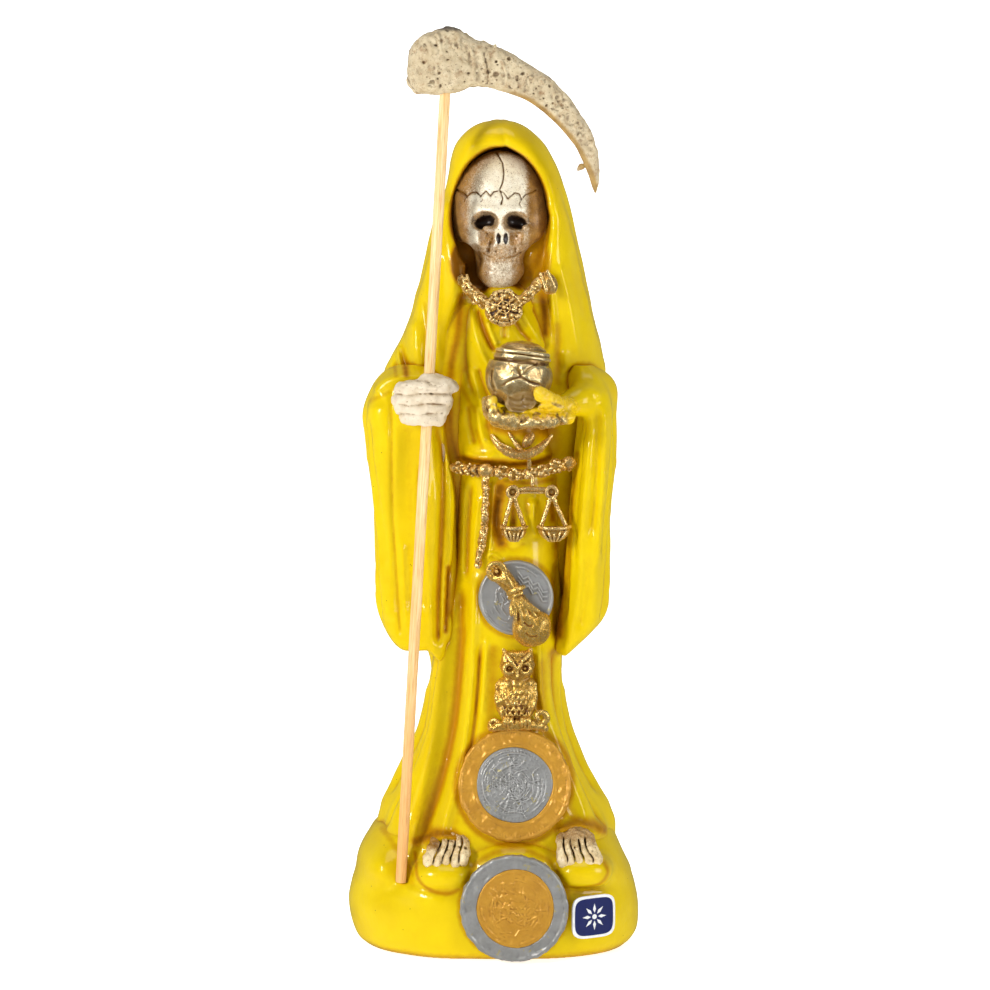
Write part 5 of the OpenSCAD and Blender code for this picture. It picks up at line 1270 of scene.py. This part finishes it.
for row in range(6):
    for j in range(-2, 3):
        x = 5.2 + (j + (.5 if row % 2 else 0)) * 1.35
        z = 67.6 - row * 1.35
        if abs(x - 5.2) > 3.2:
            continue
        y = -15.2 - 3.6 * math.sqrt(max(.05, 1 - ((x - 5.2) / 4.85) ** 2 - ((z - 63.2) / 6.4) ** 2))
        S.tube([(x - .6, y, z), (x - .35, y - .12, z - .75), (x + .35, y - .12, z - .75), (x + .6, y, z)], .22, k=.15, n=3)
S.tube([(-1.0, -16.6, 56.6), (2, -17.6, 57.4), (6, -17.9, 57.6), (10, -17.2, 57.4), (12.4, -16.4, 56.6)], [.8, 1.2, 1.3, 1.2, .9], k=.4)
S.tube([(11.4, -16.8, 57.4), (12.8, -17.0, 59.0), (12.0, -17.4, 60.6), (10.4, -17.4, 60.2), (10.6, -17.6, 58.8)], [.8, .7, .6, .5, .4], k=.3)
S.tube([(-.6, -16.8, 56.8), (-1.2, -16.6, 57.8), (-.2, -17.0, 58.6), (1.0, -17.4, 58.2)], [.7, .5, .45, .35], k=.3)
S.F += S.noise(.9, .2, 101) + S.noise(.45, .08, 102)
S.cast("owl_charm_sculpt", M_OWL, replaces=["owl_charm"], slot="gilt_paint", rad=.35)

# ---------------------------------------------------------------- crescent and scales
S = Clay((-3, -17.4, 119.6), (16, -10.6, 131.4), 0.14)
S.tube([(-.9, -14.0, 129.0), (.9, -14.6, 126.6), (3.4, -15.0, 125.0), (6.6, -15.2, 124.3), (9.6, -15.0, 125.1), (12.0, -14.6, 126.8), (14.0, -14.0, 129.0)], [.35, .9, 1.15, 1.2, 1.1, .85, .3], k=.2)
S.tube([(-.7, -14.5, 129.2), (1.2, -15.2, 127.2), (3.8, -15.8, 126.0)], [.25, .35, .3], k=.15)
S.tube([(3.4, -14.2, 129.6), (5.0, -14.8, 127.2), (6.4, -15.4, 125.4)], [.35, .5, .5], k=.25)
S.ell((8.2, -14.4, 127.9), (1.3, 1.1, 2.2), k=.3, R=turn(ry=32))
S.tube([(7.8, -15.4, 124.6), (8.4, -14.8, 122.8), (8.5, -14.4, 121.2)], [.6, .5, .55], k=.2)
S.F += S.noise(.8, .12, 111)
S.cast("crescent_charm_sculpt", M_GILT, replaces=["crescent_charm"], slot="gilt_paint", rad=.35)
S = Clay((1.4, -16.4, 111.6), (17.4, -11, 119.8), 0.13)
for x in (4.4, 14.0):
    S.tube([(x + 1.3 * math.cos(t), -14.2, 115.0 + 1.35 * math.sin(t)) for t in th], .45, k=.1, n=2)
    S.ell((x, -13.2, 115.0), (1.3, .6, 1.3), k=.2)
S.tube([(5.8, -14.0, 115.6), (9, -14.2, 115.9), (12.6, -14.0, 115.7)], .5, k=.2)
S.tube([(5.8, -13.9, 114.8), (9, -13.9, 114.9), (12.4, -13.9, 114.9)], .3, k=.2)
S.cap((9.2, -13.9, 115.6), (9.2, -13.9, 118.6), .5, k=.2)
S.F += S.noise(.7, .07, 112)
S.cast("scales_beam_sculpt", M_GILT, replaces=["scales_beam"], slot="gilt_paint", rad=.3)
for nm, x, zr, w, l, r in (("right", 4.4, 4.7, 3.1, 2.3, 7.1), ("left", 14.0, 14.6, 3.9, 11.5, 17.4)):
    S = Clay((x - 4.6, -18, 101), (x + 5.6, -11.4, 114.2), 0.13)
    for sx_, bx in ((-.45, l), (.45, r)):
        nuggets(S, [(x + sx_, -14.2, 113.5), ((x + sx_ + bx) / 2, -14.5, 110), (bx, -14.8, 106.9)], .72, 120 + int(x), gap=1.0, core=.8)
    S.ell((zr, -14.4, 106.0), (w, 2.7, 3.3), k=.1)
    S.box((zr, -14.4, 109.6), (w + 1, 4, 3.2), k=.15, cut=True)
    S.ell((zr, -14.9, 107.2), (w - .5, 2.3, 1.3), k=.2, cut=True)
    S.tube([(zr - w, -14.8, 106.5), (zr - w * .6, -16.8, 106.3), (zr, -17.3, 106.25), (zr + w * .6, -16.8, 106.3), (zr + w, -14.8, 106.5)], .42, k=.15)
    for k in range(-2, 3):
        S.tube([(zr + k * w * .36, -16.6, 105.6), (zr + k * w * .3, -16.8, 104.4), (zr + k * w * .15, -15.8, 103.0)], .24, k=.15)
    for sx_, bx in ((-.45, l), (.45, r)):
        S.cap((x + sx_, -14.2, 113.2), (bx, -14.8, 106.9), .55, k=.2)
    S.F += S.noise(.7, .09, 121)
    S.cast(nm + "_scale_pan_sculpt", M_GILT, replaces=[nm + "_scale_pan"], slot="gilt_paint", rad=.3)

# ---------------------------------------------------------------- feet
# brown stain on the toes, and painted shade: darker along the top of the feet under the robe's hem and on their outer
# sides
def foot_stain_and_shade(mm, p):
    x, y, z = mm.T
    o = step(28.0, 30.2, z) * .75
    o = np.maximum(o, step(-12.2, -14.6, x) * step(26.4, 28.6, z) * step(0, -1, x) * 1.1)
    o = np.maximum(o, step(21.0, 24.6, x) * step(27.4, 29.4, z) * .8)
    return np.maximum(o, .14)


for nm, cx, fan in (("right", -11.4, -1), ("left", 20.2, 1)):
    S = Clay((cx - 8, -27, 17.6), (cx + 8, -13, 33), 0.16)
    S.ell((cx, -17.4, 27.6), (5.0, 3.7, 4.2), k=1)
    for j in range(5):
        u = j - 2 + (.0, .12, -.1, .14, .0)[j]
        e = (.9, -.2, .3, -.5, .6)[j] if fan < 0 else (.5, -.4, .2, -.1, 1.0)[j]
        x0, x1 = cx + u * 1.75 - fan * .5, cx + u * 2.1 + fan * .7
        zt = 30.2 - abs(u) * .45 - fan * u * .25
        S.tube([(x0, -17.2, zt), (x0 + fan * .2, -20.0, 28.4), (.5 * (x0 + x1) + e * .2, -22.0, 26.5), (x1, -23.2, 24.9 + e * .5), (x1 + fan * .1, -23.4, 23.9 + e * .6)], [.9, 1.15, 1.3, 1.25, .95], k=.45)
        S.ell((.5 * (x0 + x1), -22.1, 27.2 + e * .4), (1.15, 1.0, .9), k=.5)
    for k in range(34):
        c = (cx + rng.uniform(-5, 5), rng.uniform(-23.4, -19.6), rng.uniform(24.2, 30.4))
        S.ell(c, V([.4, .7, 1.5]) * rng.uniform(.3, .85), k=.2, cut=bool(k % 3), R=turn(ry=fan * rng.uniform(-6, 26)))
    for j in range(4):
        u = j - 1.5
        a, b, c = rng.uniform(-.25, .25, 3)
        xa, xb = cx + u * 1.75 - fan * .5, cx + u * 2.1 + fan * .6
        S.engrave([(xa, 30.2 + a), (xa + b, 28.4), (.5 * (xa + xb) + c, 26.8), (xb + a, 25.4), (xb, 24.0 + c)], .26, .75, ymax=-16, taper=.22)
    for k in range(5):
        x_, z_ = cx + rng.uniform(-4, 4), rng.uniform(25, 29)
        S.engrave([(x_, z_), (x_ + rng.uniform(.6, 1.4), z_ + rng.uniform(-.4, .4))], .16, .25, ymax=-16, taper=.3)
    S.F += S.noise(1.1, .40, 131 + fan) + S.noise(.5, .24, 134 + fan)
    S.cast(nm + "_foot_sculpt", M_FEET, replaces=[nm + "_foot"], slot="bone_paint", attrs={"wash_and_shade": foot_stain_and_shade, "socket_shade": lambda mm, p: 0 * mm[:, 0]}, rad=.4)

# ---------------------------------------------------------------- label
LR = turn(rz=26) @ turn(rx=90)
LC = V([24.4, -24.35, 11.0])


def squircle(n, a, b, e=4.5):
    t = np.linspace(0, 2 * math.pi, n, endpoint=False)
    return np.stack([a * np.sign(np.cos(t)) * np.abs(np.cos(t)) ** (2 / e), b * np.sign(np.sin(t)) * np.abs(np.sin(t)) ** (2 / e)], 1)


def plates(items):
    """Thin plates as one mesh: each (outline, z0, z1, material index)."""
    vs, fs, mi = [], [], []
    for P_, z0, z1, k in items:
        n, o = len(P_), len(vs)
        c = P_.mean(0)
        In = c + (P_ - c) * .985
        rings = [(P_, z0), (P_, z1 - .03), (In, z1)]
        for Q_, z in rings:
            vs += [(x, y, z) for x, y in Q_]
        vs += [(c[0], c[1], z1), (c[0], c[1], z0)]
        for r in range(2):
            for i in range(n):
                j = (i + 1) % n
                fs.append((o + r * n + i, o + r * n + j, o + (r + 1) * n + j, o + (r + 1) * n + i))
                mi.append(k)
        for i in range(n):
            j = (i + 1) % n
            fs.append((o + 2 * n + i, o + 2 * n + j, o + 3 * n))
            fs.append((o + j, o + i, o + 3 * n + 1))
            mi += [k, k]
    return vs, fs, mi


items = [(squircle(64, 5.95, 5.3), -.3, .16, 0), (squircle(64, 5.3, 4.65), .1, .22, 1)]
for k in range(8):
    a = k * math.pi / 4
    c, s_ = math.cos(a), math.sin(a)
    q = V([(1.0, 0), (1.9, .42), (3.3, 0), (1.9, -.42)])
    items.append((q @ V([[c, s_], [-s_, c]]), .16, .27, 0))
items.append((squircle(24, .62, .62, 2), .16, .27, 0))
vs, fs, mi = plates(items)
me = bpy.data.meshes.new("plinth_label_print")
vv = V(vs)
vv[:, 2] -= vv[:, 0] ** 2 * .006
vv = vv @ LR.T + LC
me.from_pydata([tuple(v * .001) for v in vv], [], fs)
me.materials.append(M_WHITE)
me.materials.append(M_NAVY)
me.polygons.foreach_set("material_index", mi)
me.update()
o = bpy.data.objects.new("plinth_label_print", me)
bpy.context.scene.collection.objects.link(o)
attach(o, "figure")
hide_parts("plinth_label")

# ---------------------------------------------------------------- scythe
PL = 202.3
n_a, n_l = 48, 160
rg = np.random.RandomState(9)
ang = np.linspace(0, 2 * math.pi, n_a, endpoint=False)
prof = 1.22 + .05 * np.cos(2 * ang + .4) + .035 * np.cos(4 * ang + 1)
for k in range(9, 22):
    prof = prof + rg.uniform(-.012, .012) * np.cos(k * ang + rg.uniform(0, 6))
X_ = np.cross(V([0, 1, 0]), AX); X_ /= np.linalg.norm(X_)
Y_ = np.cross(AX, X_)
ts = np.concatenate([[0, .12], np.linspace(.3, PL - .2, n_l), [PL]])
rings = []
for i, t in enumerate(ts):
    f = .86 if i == 0 else (.97 if i == 1 else 1.0)
    w = 1 + .012 * math.sin(t * .21) + .008 * math.sin(t * .57 + 1)
    r_ = prof * f * w
    rings.append(FOOT + AX * t + np.outer(r_ * np.cos(ang), X_) + np.outer(r_ * np.sin(ang), Y_))
vv = np.concatenate(rings + [V([FOOT]), V([FOOT + AX * PL])])
nr = len(ts)
fs = []
uvs = []
for i in range(nr - 1):
    for j in range(n_a):
        k = (j + 1) % n_a
        fs.append((i * n_a + j, i * n_a + k, (i + 1) * n_a + k, (i + 1) * n_a + j))
        a0, a1 = j / n_a, (j + 1) / n_a
        uvs += [(a0, ts[i] / 20), (a1, ts[i] / 20), (a1, ts[i + 1] / 20), (a0, ts[i + 1] / 20)]
c0, c1 = nr * n_a, nr * n_a + 1
for j in range(n_a):
    k = (j + 1) % n_a
    fs.append((k, j, c0))
    uvs += [((k) / n_a, 0), (j / n_a, 0), (.5, .02)]
    fs.append(((nr - 1) * n_a + j, (nr - 1) * n_a + k, c1))
    uvs += [(j / n_a, 10), (k / n_a, 10), (.5, 10)]
me = bpy.data.meshes.new("scythe_pole_stick")
me.from_pydata([tuple(v * .001) for v in vv], [], fs)
uvl = me.uv_layers.new(name="grain")
uvl.data.foreach_set("uv", V(uvs, float).ravel())
me.materials.append(M_BAMBOO)
# painted shade and reflected yellow light, strongest low on the pole
a_ = me.attributes.new("pole_lower_shade", "FLOAT", "POINT")
a_.data.foreach_set("value", step(120, 10, vv[:, 2]).astype(F4))
me.polygons.foreach_set("use_smooth", [True] * len(fs))
me.update()
o = bpy.data.objects.new("scythe_pole_stick", me)
bpy.context.scene.collection.objects.link(o)
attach(o, "pole")
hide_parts("scythe_pole")

# blade
S = Clay((-23.6, -22.4, 186.6), (27, -11.8, 230), 0.20)
out = [(-21.3, 217.2), (-21, 220.2), (-20.6, 222.4), (-19.4, 224.6), (-17.4, 226.2), (-15.2, 227), (-13.2, 227.6), (-11.4, 228), (-9.6, 228), (-8.2, 227),
       (-5.4, 225.4), (-1.6, 224.2), (1.6, 222.9), (5, 221.2), (8, 219.4), (11.4, 217.2), (14.4, 214.9), (17, 212.4), (19.2, 209.8), (21.2, 206.8),
       (23.2, 203.4), (24.4, 200.2), (25.2, 197.4), (25.5, 194.4), (25.4, 191.2), (24.9, 188.4), (24.3, 187.9), (23.7, 188.9), (22.6, 192.3),
       (21.5, 195), (19.8, 198.4), (18.2, 200.9), (15.8, 203.7), (13.4, 206.1), (10.8, 208.3), (8, 210.2), (5, 211.6), (1.6, 212.7), (-1, 213.4),
       (-3.6, 213.9), (-5.6, 213.8), (-7.2, 213.2), (-9.2, 212.4), (-13.2, 211.8), (-16, 211.9), (-18.6, 212.4), (-20, 213.8), (-21, 215.6)]
out = curve(out + out[:1], 4)
px, pz = S.x[:, 0, 0][:, None], S.z[0, 0][None, :]
dd, _t = dist2(px, pz, out)
ins = np.zeros(dd.shape, bool)
for i in range(len(out) - 1):
    (ax_, az_), (bx_, bz_) = out[i], out[i + 1]
    if az_ == bz_:
        continue
    hit = ((az_ > pz) != (bz_ > pz)) & (px < (bx_ - ax_) * (pz - az_) / (bz_ - az_) + ax_)
    ins ^= hit
sd = np.where(ins, -dd, dd)
tmax = np.interp(px + 0 * pz, [-22, -14, -8, -2, 8, 18, 26], [3.5, 4.0, 3.6, 2.7, 2.3, 1.7, .9])
wid = np.interp(px + 0 * pz, [-22, -12, -6, 6, 18, 26], [4.4, 4.6, 4.0, 3.4, 2.4, 1.2])
s_in = np.clip(-sd / wid, 0, 1)
half = tmax * np.clip(1 - (1 - s_in) ** 3.2, 0, 1) ** .6
inner = curve([(-4, 214), (1.6, 212.7), (5, 211.6), (8, 210.2), (10.8, 208.3), (13.4, 206.1), (15.8, 203.7), (18.2, 200.9), (19.8, 198.4), (21.5, 195), (22.6, 192.3), (23.7, 188.9), (24.3, 187.5)], 4)
din, tin = dist2(px, pz, inner)
bw = .45 + 1.15 * tin
band = step(bw + .45, bw - .3, din) * step(.02, .3, tin)
half = half - .5 * band * step(.1, .4, tin)
BY = -17.15
F = np.abs(S.y - BY) - half[:, None, :]
S.F = np.where(ins[:, None, :], F * .75, np.sqrt(np.maximum(F, 0) ** 2 + (sd[:, None, :]) ** 2)).astype(F4)
S.ell((-17.4, BY - .6, 215.8), (3.0, 3.7, 3.0), k=1.6)
S.ell((-15.6, BY - .8, 221.6), (4.2, 3.6, 3.6), k=1.6)
S.ell((-10.8, BY - .4, 217.4), (4.6, 3.9, 4.0), k=1.6)
S.cap((21.0, BY, 194.6), (19.9, BY, 193.8), .8, .25, k=.3)
S.F += (S.noise(4.5, .3, 141) + S.noise(1.3, .38, 142) + S.noise(.6, .3, 143)) * (1 - .8 * band[:, None, :])
for i in range(420):
    t = rng.uniform(0, 1)
    x = -20 + 44 * t
    j = int((x - S.lo[0]) / S.h)
    cz = np.where(ins[j])[0]
    if not len(cz):
        continue
    z = S.lo[2] + S.h * rng.uniform(cz[0], cz[-1])
    kz = int((z - S.lo[2]) / S.h)
    if band[j, kz] > .3:
        continue
    hh = half[j, kz]
    y = BY + (-1 if rng.uniform() < .6 else 1) * (hh + .05)
    S.ell((x, y, z), V([rng.uniform(.7, 1.5), 1, rng.uniform(.6, 1.3)]) * (rng.uniform(.13, .36) if i % 5 else rng.uniform(.3, .6)), k=.12, cut=bool(i % 3))
for pts, w, d in (([(-6.0, 223.6), (-5.0, 219), (-5.4, 214.6)], .4, -.3), ([(-3.0, 222.4), (-1.8, 218), (-1.6, 214.2)], .3, .28), ([(1.6, 220.4), (2.8, 216.6), (3.0, 213.4)], .3, -.25),
                  ([(-14, 227), (-13.2, 223.6), (-12.6, 220.4)], .35, -.4), ([(-17, 224), (-15.6, 221)], .4, .4)):
    S.engrave(pts, w, d, ymax=BY + 1)
rr, tt = pole_d(S)
S.F = smax(S.F, (1.36 - np.maximum(rr, 0) + 0 * tt).astype(F4) * (tt < PL + .3) - 5 * (tt >= PL + .3), .1).astype(F4)
# painted shade: marks the underside band of the inner edge for darker tan
def under(mm, p):
    i = np.clip(p[:, 0].round().astype(int), 0, band.shape[0] - 1)
    j = np.clip(p[:, 2].round().astype(int), 0, band.shape[1] - 1)
    return band[i, j] * step(.04, .3, tin[i, j])


def patch(mm, p):
    x, y, z = mm.T
    return step(226.6, 227.5, z) * step(-14, -12.6, x) * step(-7.4, -9.2, x)


S.cast("scythe_blade_sculpt", M_BLADE, body="blade", replaces=["scythe_blade"], slot="blade_paste", attrs={"under": under, "patch": patch}, rad=.5)

# ---------------------------------------------------------------- stage, lights, camera
sc = bpy.context.scene
sc.view_settings.view_transform = "Standard"
me = bpy.data.meshes.new("floor")
N = 24
vs, fs = [], []
prof = [(-3.0, 0)] + [(y, 0) for y in np.linspace(-1.0, .5, 6)] + [(.5 + .5 * math.sin(a), .5 - .5 * math.cos(a)) for a in np.linspace(.12, math.pi / 2, 12)] + [(1.0, 2.6)]
for y, z in prof:
    vs += [(-3, y, z - .0004), (3, y, z - .0004)]
for i in range(len(prof) - 1):
    fs.append((2 * i, 2 * i + 1, 2 * i + 3, 2 * i + 2))
me.from_pydata(vs, [], fs)
me.polygons.foreach_set("use_smooth", [True] * len(fs))
fl = bpy.data.objects.new("floor", me)
sc.collection.objects.link(fl)
fm = Mat("paper_white")
fm.set(Base_Color=fm.mix(fm.noise(400, 2, .5), (.93, .93, .93), (.9, .9, .9)), Roughness=.9, Specular_IOR_Level=.1)
fm.set(Emission_Color=(1.0, 1.0, 1.0), Emission_Strength=.78)
fl.visible_glossy = False
me.materials.append(fm.m)
me = bpy.data.meshes.new("surround")
NR = 96
ring = [(2.4 * math.cos(2 * math.pi * i / NR), 2.4 * math.sin(2 * math.pi * i / NR)) for i in range(NR)]
me.from_pydata([(x, y, z) for z in (-.4, 3.4) for x, y in ring], [], [(i, (i + 1) % NR, NR + (i + 1) % NR, NR + i) for i in range(NR)])
me.materials.append(fm.m)
sw = bpy.data.objects.new("surround", me)
sc.collection.objects.link(sw)
sw.visible_diffuse = sw.visible_glossy = sw.visible_shadow = sw.visible_transmission = False


def area(name, loc, at, size, power, color=(1, 1, 1), sy=None):
    ld = bpy.data.lights.new(name, "AREA")
    ld.shape = "RECTANGLE"
    ld.size = size
    ld.size_y = sy or size
    ld.energy = power
    ld.color = color
    ob = bpy.data.objects.new(name, ld)
    sc.collection.objects.link(ob)
    d = V(at) - V(loc)
    from mathutils import Vector
    ob.location = loc
    ob.rotation_euler = Vector(d).to_track_quat("-Z", "Y").to_euler()
    return ob


area("key", (-.55, -.55, .36), (0, 0, .11), .13, 4.0, (1, .98, .95), sy=.24)
area("fill", (.70, -.50, .26), (0, 0, .11), .22, 2.35, (1, 1, 1), sy=.45)
area("top", (0, -.20, .90), (0, 0, .1), .5, 1.8)
w = bpy.data.worlds.new("studio")
w.use_nodes = True
w.node_tree.nodes["Background"].inputs[0].default_value = (1, 1, 1, 1)
w.node_tree.nodes["Background"].inputs[1].default_value = .11
sc.world = w
cam = bpy.data.cameras.new("cam")
cam.sensor_width = 36
cam.lens = 36 * 2577 / 990
cam.clip_start = .02
co = bpy.data.objects.new("cam", cam)
sc.collection.objects.link(co)
el = math.radians(5)
co.location = (0, -.650 * math.cos(el), .11305 + .650 * math.sin(el))
co.rotation_euler = (math.pi / 2 - el, 0, 0)
sc.camera = co
